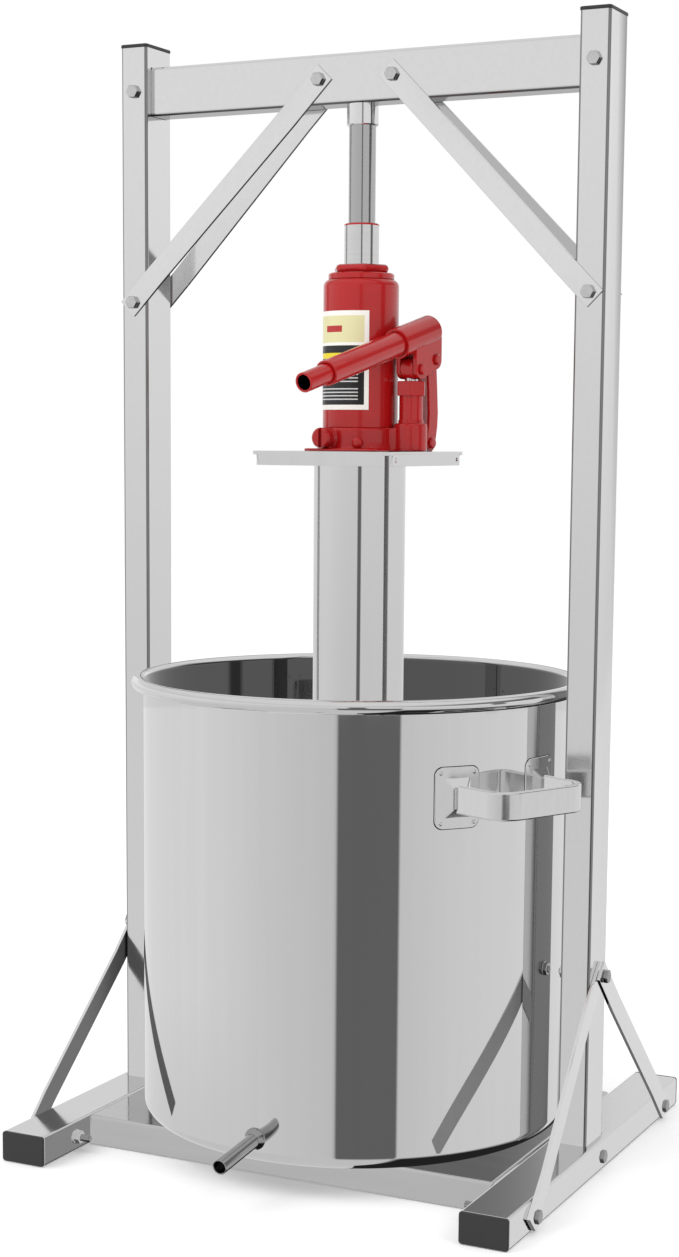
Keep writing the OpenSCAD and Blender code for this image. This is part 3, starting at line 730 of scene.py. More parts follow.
@dataclass(frozen=True)
class Enamel:
    """Glossy enamel on cast or turned steel.

    Attributes:
        name: Name of the material.
        colour: Paint colour.
        shade: Colour of thinner or dustier paint.
        rough: Lowest and highest roughness.
        flow: Width of the paint's runs in millimetres.
        peel: Width of its orange peel, drawn coarser than it is so that it shows.
        relief: Depth of the orange peel.
        bump: Strength of the orange peel.
        specular: Specular level of the paint.
        coat: Weight of its clear top layer.
        coat_rough: Roughness of that layer.
    """

    name: str
    colour: str
    shade: str
    rough: Tuple[float, float]
    flow: float = 22.2
    peel: float = 2.38
    relief: float = 0.3
    bump: float = 0.06
    specular: float = 0.35
    coat: float = 0.4
    coat_rough: float = 0.08

    def build(self) -> bpy.types.Material:
        """Builds the material.

        Returns:
            The material.
        """
        material, tree, surface = start_material(self.name)
        flow = surface_marks(tree, self.flow)
        tone, gloss = tone_and_gloss(tree, flow, (self.colour, self.shade), self.rough)
        tree.links.new(tone, surface.inputs["Base Color"])
        tree.links.new(gloss, surface.inputs["Roughness"])
        surface.inputs["Specular IOR Level"].default_value = self.specular
        surface.inputs["Coat Weight"].default_value = self.coat
        surface.inputs["Coat Roughness"].default_value = self.coat_rough
        peel = surface_marks(tree, self.peel, detail=1.0)
        relief = add_node(tree, "ShaderNodeBump",
                          {"Height": peel, "Strength": self.bump, "Distance": self.relief * MM})
        tree.links.new(relief.outputs["Normal"], surface.inputs["Normal"])
        return material


@dataclass(frozen=True)
class Moulded:
    """Moulded plastic or rubber.

    Attributes:
        name: Name of the material.
        colour: Main colour.
        shade: Colour of worn or dusty places.
        rough: Lowest and highest roughness.
        grain: Width of the mould's grain in millimetres, drawn coarser than it is so that it shows.
        relief: Depth of the grain.
        bump: Strength of the grain.
    """

    name: str
    colour: str
    shade: str
    rough: Tuple[float, float]
    grain: float = 1.11
    relief: float = 0.2
    bump: float = 0.1

    def build(self) -> bpy.types.Material:
        """Builds the material.

        Returns:
            The material.
        """
        material, tree, surface = start_material(self.name)
        grain = surface_marks(tree, self.grain)
        tone, gloss = tone_and_gloss(tree, grain, (self.colour, self.shade), self.rough)
        tree.links.new(tone, surface.inputs["Base Color"])
        tree.links.new(gloss, surface.inputs["Roughness"])
        relief = add_node(tree, "ShaderNodeBump",
                          {"Height": grain, "Strength": self.bump, "Distance": self.relief * MM})
        tree.links.new(relief.outputs["Normal"], surface.inputs["Normal"])
        return material


@dataclass(frozen=True)
class PrintedLabel:
    """Printed film: white border, cream upper panel, dark lower panel with plain bars.

    Attributes:
        name: Name of the material.
        low: Height of the label's lower edge in millimetres.
        high: Height of its upper edge.
        start: Angle of its left edge about the tank, in degrees from +X.
        end: Angle of its right edge.
        rough: Lowest and highest roughness.
        fade: Width of its faded patches in millimetres.
        border: Colour of its bare film.
    """

    name: str
    low: float
    high: float
    start: float
    end: float
    rough: Tuple[float, float] = (0.28, 0.42)
    fade: float = 3.33
    border: str = "#f2f0ea"

    def build(self) -> bpy.types.Material:
        """Builds the material.

        Returns:
            The material.
        """
        material, tree, surface = start_material(self.name)
        coords = add_node(tree, "ShaderNodeTexCoord")
        split = add_node(tree, "ShaderNodeSeparateXYZ", {"Vector": coords.outputs["Object"]})
        angle = add_node(tree, "ShaderNodeMath", {"0": split.outputs["Y"], "1": split.outputs["X"]},
                         operation="ARCTAN2").outputs[0]
        across = add_node(tree, "ShaderNodeMapRange",
                          {"Value": angle, "From Min": math.radians(self.start),
                           "From Max": math.radians(self.end)}, clamp=False).outputs["Result"]
        along = add_node(tree, "ShaderNodeMapRange",
                         {"Value": split.outputs["Z"], "From Min": self.low * MM, "From Max": self.high * MM},
                         clamp=False).outputs["Result"]
        colour: object = srgb(self.border)
        for shade, left, right, bottom, top in self.panels():
            inside = self._inside(tree, across, along, left, right, bottom, top)
            colour = add_node(tree, "ShaderNodeMix", {"0": inside, "6": colour, "7": srgb(shade)},
                              data_type="RGBA").outputs[2]
        tree.links.new(colour, surface.inputs["Base Color"])
        fade = surface_marks(tree, self.fade)
        gloss = add_node(tree, "ShaderNodeMapRange",
                         {"Value": fade, "From Min": FAINT_MARK, "From Max": FULL_MARK,
                          "To Min": self.rough[0], "To Max": self.rough[1]})
        tree.links.new(gloss.outputs["Result"], surface.inputs["Roughness"])
        return material

    def panels(self) -> List[Tuple[str, float, float, float, float]]:
        """Lists the printed panels as shares of the label's width and height.

        Returns:
            Colour, left, right, bottom and top of each panel, lowest first.
        """
        bars = [("#cfcfcf", 0.14, 0.86, low, low + 0.012)
                for low in (0.10, 0.135, 0.17, 0.205, 0.28, 0.315, 0.35)]
        return [("#ded9a8", 0.06, 0.94, 0.68, 0.95), ("#17181a", 0.06, 0.94, 0.05, 0.65),
                ("#e8d21c", 0.10, 0.90, 0.52, 0.575), ("#b32a2c", 0.36, 0.64, 0.785, 0.85)] + bars

    @staticmethod
    def _inside(tree: bpy.types.NodeTree, across: bpy.types.NodeSocket, along: bpy.types.NodeSocket,
                left: float, right: float, bottom: float, top: float) -> bpy.types.NodeSocket:
        """Tells whether a place lies inside a panel.

        Args:
            tree: The node tree.
            across: Share of the label's width.
            along: Share of the label's height.
            left: Panel's left edge.
            right: Panel's right edge.
            bottom: Panel's lower edge.
            top: Panel's upper edge.

        Returns:
            Socket that is 1 inside and 0 outside.
        """
        result: object = 1.0
        for operation, place, limit in (("GREATER_THAN", across, left), ("LESS_THAN", across, right),
                                        ("GREATER_THAN", along, bottom), ("LESS_THAN", along, top)):
            test = add_node(tree, "ShaderNodeMath", {"0": place, "1": limit}, operation=operation)
            both = add_node(tree, "ShaderNodeMath", {"0": result, "1": test.outputs[0]}, operation="MULTIPLY")
            result = both.outputs[0]
        return result


class Finishes:
    """Every finish of the press."""

    def __init__(self) -> None:
        """Builds all materials."""
        # Painted shade on faces that slope downwards, and a painted dark reflection on rounded upright
        # corners
        edge = (Facing.BELOW, "#6c6c6c")
        corner = (Facing.CORNER, "#888888")
        # Marks of polishing, rolling and turning are a tenth of a millimetre apart or less, too fine to
        # show in the render, so all the spacings below are drawn as coarse as they need to show
        # Drawn and polished 304 tube: bright, with a slight unevenness
        frame_tube = Steel("drawn_stainless", "#e2e2e2", "#dddddd", (0.11, 0.13), 3.85, bump=0.004)
        # The same tube with painted shade below, to the pot, and as a dark reflection on its corners
        beam_tube = replace(frame_tube, name="beam_tube", tints=(edge,))
        upright_tube = replace(frame_tube, name="upright_tube", tints=(corner,))
        post_tube = replace(frame_tube, name="dull_post", tints=((Facing.INWARD, "#8c8c8c"), corner),
                            dull=0.15)
        # Polished flat bar with painted shade on its faces that slope downwards
        brace_bar = Steel("polished_bar", "#e6e6e6", "#e0e0e0", (0.11, 0.14), 3.85, bump=0.004,
                          tints=(edge,))
        # The same bar with painted shade: on its face to the front for one, on its face to the pot for the
        # others
        dull_bar = replace(brace_bar, name="dull_bar", tints=((Facing.FORWARD, "#bebebe"), edge))
        stay_bar = replace(brace_bar, name="stay_bar", tints=((Facing.INWARD, "#868686"), edge), dull=0.30)
        satin_stay = replace(stay_bar, name="satin_stay", tints=((Facing.INWARD, "#a8a8a8"), edge))
        # Cold-rolled sheet with a bright-annealed face: long rolling marks across the pan
        pan_sheet = Steel("pan_sheet", "#cdcdcd", "#c2c2c2", (0.06, 0.12), 12.5, (0.1, 1, 1))
        # Drawn pot: mirror-polished, with painted shade that makes its inside dark grey
        pot_sheet = Steel("mirror_stainless", "#dedede", "#d8d8d8", (0.02, 0.035), 11.1, (1, 1, 0.03),
                          tints=((Facing.INWARD, "#5e5e5e"),))
        # Tumbled strap and spot-welded pads of the pot's handles: an even satin sheen
        satin_sheet = Steel("satin_stainless", "#dedede", "#d8d8d8", (0.15, 0.19), 3.33, (1, 1, 0.3))
        # Basket, spout and weld: a darker grey copy of the pot's steel as painted shade, with upright drawing
        # marks
        basket_sheet = Steel("pickled_stainless", "#a2a2a2", "#969696", (0.12, 0.18), 8.33, (1, 1, 0.1))
        # Plain stainless M6 hardware: bright above, with painted shade on its faces that slope downwards
        bolts = Steel("bolt_stainless", "#d4d4d4", "#c2c2c2", (0.12, 0.24), 2.0, bump=0.1,
                      tints=((Facing.BELOW, "#5c5c5c"),))
        # Bolts of the feet and of the base braces: a darker copy of the hardware as painted shade
        dull_bolts = replace(bolts, name="dull_bolt_stainless", light="#a2a2a2", dark="#8a8a8a",
                             tints=((Facing.BELOW, "#484848"),))
        # Nearly black steel, soft sheen: painted shadow round the pads, and a dark lining in the handle's tip
        bare = Steel("oiled_steel", "#2a2624", "#1f1c1b", (0.35, 0.5), 3.33)
        # Injection-moulded polyethylene plugs: black, finely grained
        caps = Moulded("cap_polyethylene", "#232323", "#2f2f2f", (0.38, 0.5))
        # Sprayed red enamel over castings and tube: glossy, with a slight orange peel
        enamel = Enamel("red_enamel", "#b21416", "#a51012", (0.18, 0.28))
        # Bright hard chrome with fine turning rings
        chrome = Steel("hard_chrome", "#dadada", "#cecece", (0.07, 0.12), 2.5, (0.05, 0.05, 1), 0.02)
        # Ground rod with an oil film: greyer than chrome
        ground = Steel("ground_rod", "#b6b6b6", "#aeaeae", (0.11, 0.14), 0.667, (0.05, 0.05, 1))
        # Screen-printed film: white, cream and black panels
        label = PrintedLabel("printed_film", Jack.label_low, Jack.label_high, Jack.label_start,
                             Jack.label_end)
        # Nitrile rubber: black and matt
        rubber = Moulded("nitrile_rubber", "#1d1d1d", "#2a2a2a", (0.5, 0.65))
        made = {Look.FRAME: frame_tube, Look.BEAM: beam_tube, Look.UPRIGHT: upright_tube,
                Look.POST: post_tube, Look.BRACE: brace_bar, Look.DULL_BRACE: dull_bar, Look.STAY: stay_bar,
                Look.SATIN_STAY: satin_stay, Look.PAN: pan_sheet, Look.POT: pot_sheet,
                Look.SATIN: satin_sheet, Look.BASKET: basket_sheet,
                Look.BOLT: bolts, Look.DULL_BOLT: dull_bolts, Look.BARE: bare, Look.CAP: caps,
                Look.ENAMEL: enamel, Look.RAM: chrome, Look.ROD: ground, Look.LABEL: label,
                Look.RUBBER: rubber}
        self._materials = {look: finish.build() for look, finish in made.items()}

    def put(self, obj: bpy.types.Object, look: Look) -> None:
        """Gives an object a finish.

        Args:
            obj: The object.
            look: The finish.
        """
        obj.data.materials.clear()
        obj.data.materials.append(self._materials[look])


@dataclass
class SubAssembly:
    """A group of pieces that are built and dressed together.

    Attributes:
        finishes: Finishes to dress the pieces with.
    """

    finishes: Finishes

    def dress(self, obj: bpy.types.Object, body: Body, look: Look, nodes: Sequence[str],
              angle: float = 35.0) -> None:
        """Shades and dresses a finished piece, hangs it on its body and hides the CAD nodes that it stands
        for.

        Args:
            obj: The piece.
            body: Body it moves with.
            look: Its finish.
            nodes: CAD nodes that it stands for.
            angle: Edges sharper than this many degrees stay sharp.
        """
        smooth(obj, angle)
        flatten(obj)
        self.finishes.put(obj, look)
        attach(obj, body.value)
        if nodes:
            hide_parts(*nodes)
        LOG.info("piece %s: %d faces on %s", obj.name, len(obj.data.polygons), body.value)

    def dress_nodes(self, names: Sequence[str], look: Look, mirrored: bool = True,
                    angle: float = 30.0) -> None:
        """Dresses CAD nodes that are shown as they are.

        Args:
            names: Node names.
            look: Their finish.
            mirrored: Whether polished pieces mirror them.
            angle: Edges sharper than this many degrees stay sharp.
        """
        for name in names:
            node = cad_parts[name]
            smooth(node, angle)
            node.visible_glossy = mirrored
            self.finishes.put(node, look)
            LOG.info("CAD node %s: %d faces", name, len(node.data.polygons))

    def build(self) -> None:
        """Builds the sub-assembly's pieces."""
        raise NotImplementedError


@dataclass
class TubeFrame(SubAssembly):
    """Feet, uprights, crossbeam, braces, caps, bolts and base pan. Sizes in millimetres."""

    # Tubes, by their middle lines and their section
    upright_x: float = 205.0
    foot_x: float = 204.0
    foot_half: float = 200.0
    tube_long: float = 40.0
    tube_short: float = 25.0
    top: float = 920.0
    beam_z: float = 881.0
    # Plug caps: flange and the plug in the tube
    cap_t: float = 3.0
    cap_corner: float = 2.5
    cap_round: float = 1.0
    cap_over: float = 1.0
    plug_inset: float = 3.0
    plug_depth: float = 12.0
    plug_root: float = 0.5
    # Folded pan
    pan_half: float = 183.8
    pan_depth: float = 268.0
    pan_low: float = 1.0
    pan_t: float = 2.0
    pan_bend: float = 2.6
    # Cup for the jack's rod
    cup_low: float = 844.0
    cup_r: float = 13.0
    cup_bore: float = 11.05
    cup_depth: float = 12.0
    cup_edge: float = 0.8
    # Flat-bar braces
    brace_w: float = 18.0
    brace_t: float = 3.0
    brace_end: float = 8.0
    brace_edge: float = 0.5
    top_brace_x: float = 33.0
    top_brace_drop: float = 175.0
    base_brace_z: float = 163.0
    base_brace_y: float = 155.0
    # M6 hardware
    bolt_d: float = 6.0
    bolt_flats: float = 10.0
    head_h: float = 3.96
    head_edge: float = 0.7
    nut_h: float = 4.8
    nut_edge: float = 0.6
    washer_t: float = 1.6
    washer_edge: float = 0.3
    washer_play: float = 0.2
    thread_pitch: float = 1.0
    thread_depth: float = 0.45
    thread_tip: float = 0.7
    thread_tail: float = 1.5
    foot_tail: float = 8.5

    def build(self) -> None:
        """Builds the frame's pieces."""
        # Painted shade: the left foot and the right upright are darker on their faces to the pot,
        # the uprights carry a painted dark reflection on their corners, and the beam is darker below
        self.dress_nodes(["right_foot"], Look.FRAME, mirrored=False)
        self.dress_nodes(["left_foot"], Look.POST, mirrored=False)
        self.dress_nodes(["crossbeam"], Look.BEAM)
        self.dress_nodes(["left_upright"], Look.UPRIGHT)
        self.dress_nodes(["right_upright"], Look.POST)
        self._caps()
        self._pan()
        self._cup()
        self._top_braces()
        self._base_braces()
        self._fasteners()

    def _cap(self, name: str, w: float, d: float) -> bpy.types.Object:
        """Models a plug cap with its flange on z = 0.

        Args:
            name: Name of the cap.
            w: Width of its flange.
            d: Depth of its flange.

        Returns:
            The cap.
        """
        flange = prism(name, rounded_outline(w, d, self.cap_corner), self.cap_t)
        soften(flange, self.cap_round, segments=3, angle=40.0)
        x, y = w / 2 - self.plug_inset, d / 2 - self.plug_inset
        plug = block(f"{name}_plug", (-x, -y, -self.plug_depth), (x, y, self.plug_root))
        return join(name, [flange, plug])

    def _caps(self) -> None:
        """Builds the caps of the feet and uprights."""
        ends = [move(x, end * self.foot_half, self.tube_short / 2) @ turn(-end * 90, "X")
                for x in (-self.foot_x, self.foot_x) for end in (-1, 1)]
        caps = array_of(self._cap("foot_cap", self.tube_long, self.tube_short), "foot_cap_set", ends)
        caps.visible_glossy = False
        self.dress(caps, Body.FRAME, Look.CAP, ["foot_caps"])
        tops = [move(x, 0, self.top - self.cap_t) for x in (-self.upright_x, self.upright_x)]
        cap = self._cap("upright_cap", self.tube_short + self.cap_over, self.tube_long + self.cap_over)
        self.dress(array_of(cap, "upright_cap_set", tops), Body.FRAME, Look.CAP, ["upright_caps"])

    def _pan(self) -> None:
        """Builds the folded base pan: an open box with round bends."""
        pan = block("folded_pan", (-self.pan_half, -self.pan_depth / 2, self.pan_low),
                    (self.pan_half, self.pan_depth / 2, self.tube_short))
        edit(pan)
        bpy.ops.mesh.select_all(action="DESELECT")
        bpy.ops.object.mode_set(mode="OBJECT")
        lowest = min(pan.data.polygons, key=lambda face: face.center.z)
        lowest.select = True
        bpy.ops.object.mode_set(mode="EDIT")
        bpy.ops.mesh.delete(type="FACE")
        close_edit()
        soften(pan, self.pan_bend, segments=4, angle=40.0)
        sheet = pan.modifiers.new("sheet", "SOLIDIFY")
        sheet.thickness = self.pan_t * MM
        sheet.offset = -1
        only(pan)
        bpy.ops.object.modifier_apply(modifier=sheet.name)
        pan.visible_glossy = False
        self.dress(pan, Body.FRAME, Look.PAN, ["base_pan"])

    def _cup(self) -> None:
        """Builds the cup under the beam that takes the jack's rod."""
        low, high = self.cup_low, self.beam_z - self.tube_long / 2
        seat = low + self.cup_depth
        profile = [(0, high), (self.cup_r, high), (self.cup_r, low + self.cup_edge),
                   (self.cup_r - self.cup_edge, low), (self.cup_bore, low), (self.cup_bore, seat), (0, seat)]
        self.dress(lathe("beam_cup", profile, steps=64), Body.FRAME, Look.FRAME, ["ram_cup"])

    def _brace(self, name: str, length: float, step: float, bend_1: float, bend_2: float) -> bpy.types.Object:
        """Models a bent flat bar from one bolt hole to the next.

        Args:
            name: Name of the bar.
            length: Distance between its holes.
            step: Rise of its far end.
            bend_1: Where the rise starts.
            bend_2: Where the rise ends.

        Returns:
            The bar, along +X with its underside on z = 0.
        """
        t, end = self.brace_t, self.brace_end
        side = [(-end, 0), (bend_1, 0), (bend_2, step), (length + end, step), (length + end, step + t),
                (bend_2, step + t), (bend_1, t), (-end, t)]
        bar = prism(name, side, self.brace_w)
        settle(bar, move(0, self.brace_w / 2, 0) @ turn(90, "X"))
        return soften(bar, self.brace_edge, angle=40.0)

    def _top_braces(self) -> None:
        """Builds the four braces between the beam and the uprights from one model."""
        half_w, inner = self.brace_w / 2, self.upright_x - self.tube_short / 2
        run, drop = self.upright_x - self.top_brace_x, self.top_brace_drop
        fall = math.atan2(drop, run)
        bend_1 = (self.tube_long / 2 + half_w * math.cos(fall) + self.brace_t) / math.sin(fall)
        bend_2 = (inner - self.top_brace_x - half_w * math.sin(fall) - self.brace_t) / math.cos(fall)
        step = (self.tube_long - self.tube_short) / 2
        bar = self._brace("top_bar", math.hypot(run, drop), step, bend_1, bend_2)
        place = (move(self.top_brace_x, -self.tube_short / 2, self.beam_z) @ turn(90, "X")
                 @ turn(-math.degrees(fall), "Z"))
        for row, ymat in (("front", Matrix()), ("rear", flip("Y"))):
            for side, xmat in (("right", Matrix()), ("left", flip("X"))):
                twin = copy(bar, f"top_bar_{row}_{side}", ymat @ xmat @ place)
                twin.visible_glossy = row == "rear"
                # Painted shade below on all four, and on the front face of the rear right one
                look = Look.DULL_BRACE if (row, side) == ("rear", "right") else Look.BRACE
                self.dress(twin, Body.FRAME, look, [f"top_brace_{row}_{side}"])
        bpy.data.objects.remove(bar)

    def _base_braces(self) -> None:
        """Builds the four braces between the uprights and the feet, the rear ones over the front ones."""
        half_w, run, drop = self.brace_w / 2, self.base_brace_y, self.base_brace_z - self.tube_short / 2
        fall = math.atan2(drop, run)
        outer, foot = self.upright_x + self.tube_short / 2, self.foot_x + self.tube_long / 2
        bend_1 = (self.tube_long / 2 + half_w * math.sin(fall) + self.brace_t) / math.cos(fall)
        rise = self.base_brace_z - self.tube_short
        bend_2 = (rise - half_w * math.cos(fall) - self.brace_t) / math.sin(fall)
        for row, ymat, lift in (("front", Matrix(), 0.0), ("rear", flip("Y"), self.brace_t)):
            bar = self._brace("base_bar", math.hypot(drop, run), foot - outer - lift, bend_1, bend_2)
            place = (move(outer + lift, 0, self.base_brace_z) @ turn(90, "Y")
                     @ turn(math.degrees(fall) - 90, "Z"))
            for side, xmat in (("right", Matrix()), ("left", flip("X"))):
                twin = copy(bar, f"base_bar_{row}_{side}", xmat @ ymat @ place)
                twin.visible_glossy = row == "front"
                # Painted shade on each brace's face to the pot, deeper on the left ones
                look = Look.STAY if side == "left" else Look.SATIN_STAY
                self.dress(twin, Body.FRAME, look, [f"base_brace_{row}_{side}"])
            bpy.data.objects.remove(bar)

    def _fasteners(self) -> None:
        """Builds the bolts, washers and nuts at their seats."""
        t, wide, narrow = self.brace_t, self.tube_long, self.tube_short
        top: List[Seat] = []
        for sign in (-1, 1):
            for x, y, z, grip in (
                    (self.upright_x, -wide / 2, self.beam_z, wide),
                    (self.top_brace_x, -narrow / 2 - t, self.beam_z, narrow + 2 * t),
                    (self.upright_x, -wide / 2 - t, self.beam_z - self.top_brace_drop, wide + 2 * t)):
                top.append((move(sign * x, y, z) @ turn(-90, "X"), grip, self.thread_tail))
        foot, low, outer = self.foot_x + wide / 2, narrow / 2, self.upright_x + narrow / 2
        base: List[Seat] = []
        feet: List[Seat] = []
        for side in (Matrix(), flip("X")):
            for row, x, y, z, grip, tail in (
                    (feet, foot, 0, low, foot - self.pan_half + self.pan_t, self.thread_tail),
                    (feet, foot + t, -self.base_brace_y, low, wide + t, self.foot_tail),
                    (feet, foot + t, self.base_brace_y, low, wide + t, self.foot_tail),
                    (base, outer + 2 * t, 0, self.base_brace_z, narrow + 2 * t, self.thread_tail)):
                row.append((side @ move(x, y, z) @ turn(-90, "Y") @ turn(90, "Z"), grip, tail))
        self._bolt_set("top", "top", top)
        self._bolt_set("base", "base", base)
        for piece in self._bolt_set("foot", "base", feet):
            piece.visible_glossy = False

    def _bolt_set(self, name: str, group: str, seats: Sequence[Seat]) -> List[bpy.types.Object]:
        """Builds one set of bolts with washers and nuts.

        Args:
            name: Name of the set.
            group: "top" or "base", the CAD group that it belongs to.
            seats: Place under each head, grip length and length of thread past the nut.

        Returns:
            The bolts, the washers and the nuts.
        """
        r, t = self.bolt_d / 2, self.washer_t
        head = settle(hexagon("bolt_head", self.bolt_flats, self.head_h, self.head_edge), flip("Z"))
        nut = hexagon("bolt_nut", self.bolt_flats, self.nut_h, self.nut_edge)
        washer = rod("bolt_washer", self.bolt_d, 0, t, self.washer_edge, steps=40, bore=r + self.washer_play)
        bolts, washers, nuts = [], [], []
        for i, (place, grip, tail) in enumerate(seats):
            end = grip + t + self.nut_h + tail
            shank = self._threaded(f"shank_{i}", r, end, tail - self.thread_pitch / 2)
            bolts += [copy(head, f"head_{i}", place), settle(shank, place)]
            washers.append(copy(washer, f"washer_{i}", place @ move(0, 0, grip)))
            nuts.append(copy(nut, f"nut_{i}", place @ move(0, 0, grip + t)))
        for model in (head, nut, washer):
            bpy.data.objects.remove(model)
        made = []
        for kind, pieces in (("bolt", bolts), ("washer", washers), ("nut", nuts)):
            # The base bolts are a darker copy of the hardware, as painted shade
            look = Look.DULL_BOLT if (group, kind) == ("base", "bolt") else Look.BOLT
            made.append(join(f"{name}_{kind}_set", pieces))
            self.dress(made[-1], Body.FRAME, look, [f"{group}_{kind}s"])
        return made

    def _threaded(self, name: str, r: float, end: float, thread: float) -> bpy.types.Object:
        """Models a shank from z = 0 whose end is cut with thread rings.

        Args:
            name: Name of the shank.
            r: Its radius.
            end: Its length.
            thread: Length of the visible thread.

        Returns:
            The shank.
        """
        start, pitch, tip = end - thread, self.thread_pitch, self.thread_tip
        rings = [point for i in range(int(thread / pitch)) for point in
                 ((r, start + i * pitch), (r - self.thread_depth, start + (i + 0.5) * pitch))]
        return lathe(name, [(0, 0), (r, 0)] + rings + [(r, end - tip), (r - tip, end), (0, end)], steps=32)


@dataclass
class Pot(SubAssembly):
    """Stock pot with its rim, spout, handles and strainer basket. Sizes in millimetres, angles in degrees."""

    # Drawn shell
    radius: float = 180.0
    wall: float = 1.5
    low: float = 25.0
    high: float = 396.0
    corner_r: float = 12.0
    rim_r: float = 5.5
    # Spout pipe, and its weld's section about the pipe
    spout_z: float = 45.6
    spout_slope: float = 6.0
    spout_start: float = 0.83
    spout_reach: float = 57.0
    spout_r: float = 6.0
    spout_bore: float = 5.0
    spout_edge: float = 0.35
    weld: Points = ((6.05, 0), (9, 0), (8.6, 1.6), (7.4, 3.4), (6.4, 4.6), (6.05, 5))
    # Strap handles
    handle_angle: float = 65.0
    handle_z: float = 318.0
    handle_span: float = 90.0
    handle_reach: float = 50.0
    strap_h: float = 22.0
    strap_t: float = 5.0
    strap_bend: float = 20.0
    strap_root: float = 9.5
    strap_edge: float = 1.6
    # Pads under the straps, with a raised boss in the middle and a thin dark sheet round each as painted
    # shadow
    pad_w: float = 38.0
    pad_h: float = 48.0
    pad_t: float = 1.2
    pad_corner: float = 7.0
    pad_edge: float = 0.5
    pad_lift: float = 1.0
    pad_spare: float = 1.3
    pad_cutter: float = 40.0
    seam_w: float = 0.6
    seam_t: float = 0.25
    boss_w: float = 34.0
    boss_h: float = 24.0
    boss_t: float = 5.0
    boss_root: float = 2.0
    boss_sink: float = 1.5
    boss_taper: float = 0.5
    boss_edge: float = 1.2
    # Spot welds in the pads' corners
    spot_r: float = 1.8
    spot_inset: float = 4.5
    spot_rise: float = 0.1
    spot_flatness: float = 0.5

    def build(self) -> None:
        """Builds the pot's pieces."""
        self.dress_nodes(["strainer_basket", "basket_bottom"], Look.BASKET, mirrored=False)
        self._shell()
        self._spout()
        self._handles()
        self._pads()

    def _shell(self) -> None:
        """Builds the drawn shell with its rolled rim."""
        rim_x, rim_z = self.radius - self.wall + self.rim_r, self.high - self.rim_r
        meet = math.degrees(math.acos((rim_x - self.radius) / self.rim_r))
        c, w = self.corner_r, self.wall
        profile = ([(0, self.low)] + arc(self.radius - c, self.low + c, c, -90, 0, 10)
                   + arc(rim_x, rim_z, self.rim_r, 180 + meet, 540, 28)
                   + arc(self.radius - c, self.low + c, c - w, 0, -90, 10) + [(0, self.low + w)])
        shell = lathe("drawn_pot", profile, steps=192)
        shell.visible_glossy = False
        self.dress(shell, Body.POT, Look.POT, ["pot_shell", "pot_bottom"], angle=50.0)

    def _spout(self) -> None:
        """Builds the spout pipe and its weld collar."""
        place = move(0, -self.radius, self.spout_z) @ turn(90 + self.spout_slope, "X")
        pipe = rod("spout_pipe", self.spout_r, self.spout_start, self.spout_reach, self.spout_edge, steps=64,
                   bore=self.spout_bore)
        self.dress(settle(pipe, place), Body.POT, Look.BASKET, ["pot_spout"])
        weld = settle(lathe("spout_weld", self.weld, steps=64, closed=True), place)
        self.dress(weld, Body.POT, Look.BASKET, ["spout_collar"])

    def _handles(self) -> None:
        """Builds the two strap handles."""
        r, t = self.strap_bend, self.strap_t
        bend_x = self.radius + self.handle_reach - r
        root = self.radius + self.pad_t + self.boss_t - self.strap_root
        far, near = self.handle_span / 2 + t / 2, self.handle_span / 2 - t / 2
        outer = ([(root, -far)] + arc(bend_x, r - far, r, -90, 0) + arc(bend_x, far - r, r, 0, 90)
                 + [(root, far)])
        inner = ([(root, near)] + arc(bend_x, far - r, r - t, 90, 0) + arc(bend_x, r - far, r - t, 0, -90)
                 + [(root, -near)])
        strap = soften(prism("strap", outer + inner, self.strap_h), self.strap_edge, segments=4, angle=50.0)
        for side, angle in (("right", 0.0), ("left", 180.0)):
            place = turn(self.handle_angle - 90 + angle, "Z") @ move(0, 0, self.handle_z - self.strap_h / 2)
            twin = copy(strap, f"strap_{side}", place)
            self.dress(twin, Body.POT, Look.SATIN, [f"pot_handle_{side}"], angle=60.0)
        bpy.data.objects.remove(strap)

    def _pad_places(self) -> List[Matrix]:
        """Lists the places of the four handle pads.

        Returns:
            Matrices that turn +X to the pads' outward directions.
        """
        swing = math.degrees(math.asin(self.handle_span / 2 / (self.radius + self.pad_t + self.boss_t)))
        height = move(0, 0, self.handle_z + self.pad_lift)
        return [turn(half + self.handle_angle - 90 + arm * swing, "Z") @ height
                for half in (0, 180) for arm in (-1, 1)]

    def _pad_sheet(self, name: str, w: float, h: float, t: float) -> bpy.types.Object:
        """Models a round-cornered sheet that follows the pot's wall.

        Args:
            name: Name of the sheet.
            w: Its width.
            h: Its height.
            t: Its thickness.

        Returns:
            The sheet, facing +X.
        """
        r = self.radius
        wide = math.degrees(w / r) * self.pad_spare
        section = [(r, -h), (r + t, -h), (r + t, h), (r, h)]
        sheet = lathe(name, section, steps=16, closed=True, sweep=wide, start=-wide / 2)
        shape = prism(f"{name}_shape", rounded_outline(h, w, self.pad_corner), self.pad_cutter)
        settle(shape, move(r - self.pad_cutter / 2, 0, 0) @ turn(90, "Y"))
        return cut(sheet, shape, "INTERSECT")

    def _boss(self) -> bpy.types.Object:
        """Models the raised middle of a pad.

        Returns:
            The boss, facing +X.
        """
        fresh()
        corner, depth = math.sqrt(0.5), self.boss_t + self.boss_root
        bpy.ops.mesh.primitive_cone_add(vertices=4, radius1=corner, radius2=corner * self.boss_taper, depth=1,
                                        rotation=(0, 0, math.pi / 4))
        boss = settle(bpy.context.active_object)
        boss.name = "pad_boss"
        boss.scale = mm((self.boss_w, self.boss_h, depth))
        settle(boss)
        settle(boss, move(self.radius + self.pad_t + depth / 2 - self.boss_sink, 0, 0) @ turn(90, "Y"))
        return soften(boss, self.boss_edge, segments=3, angle=20.0)

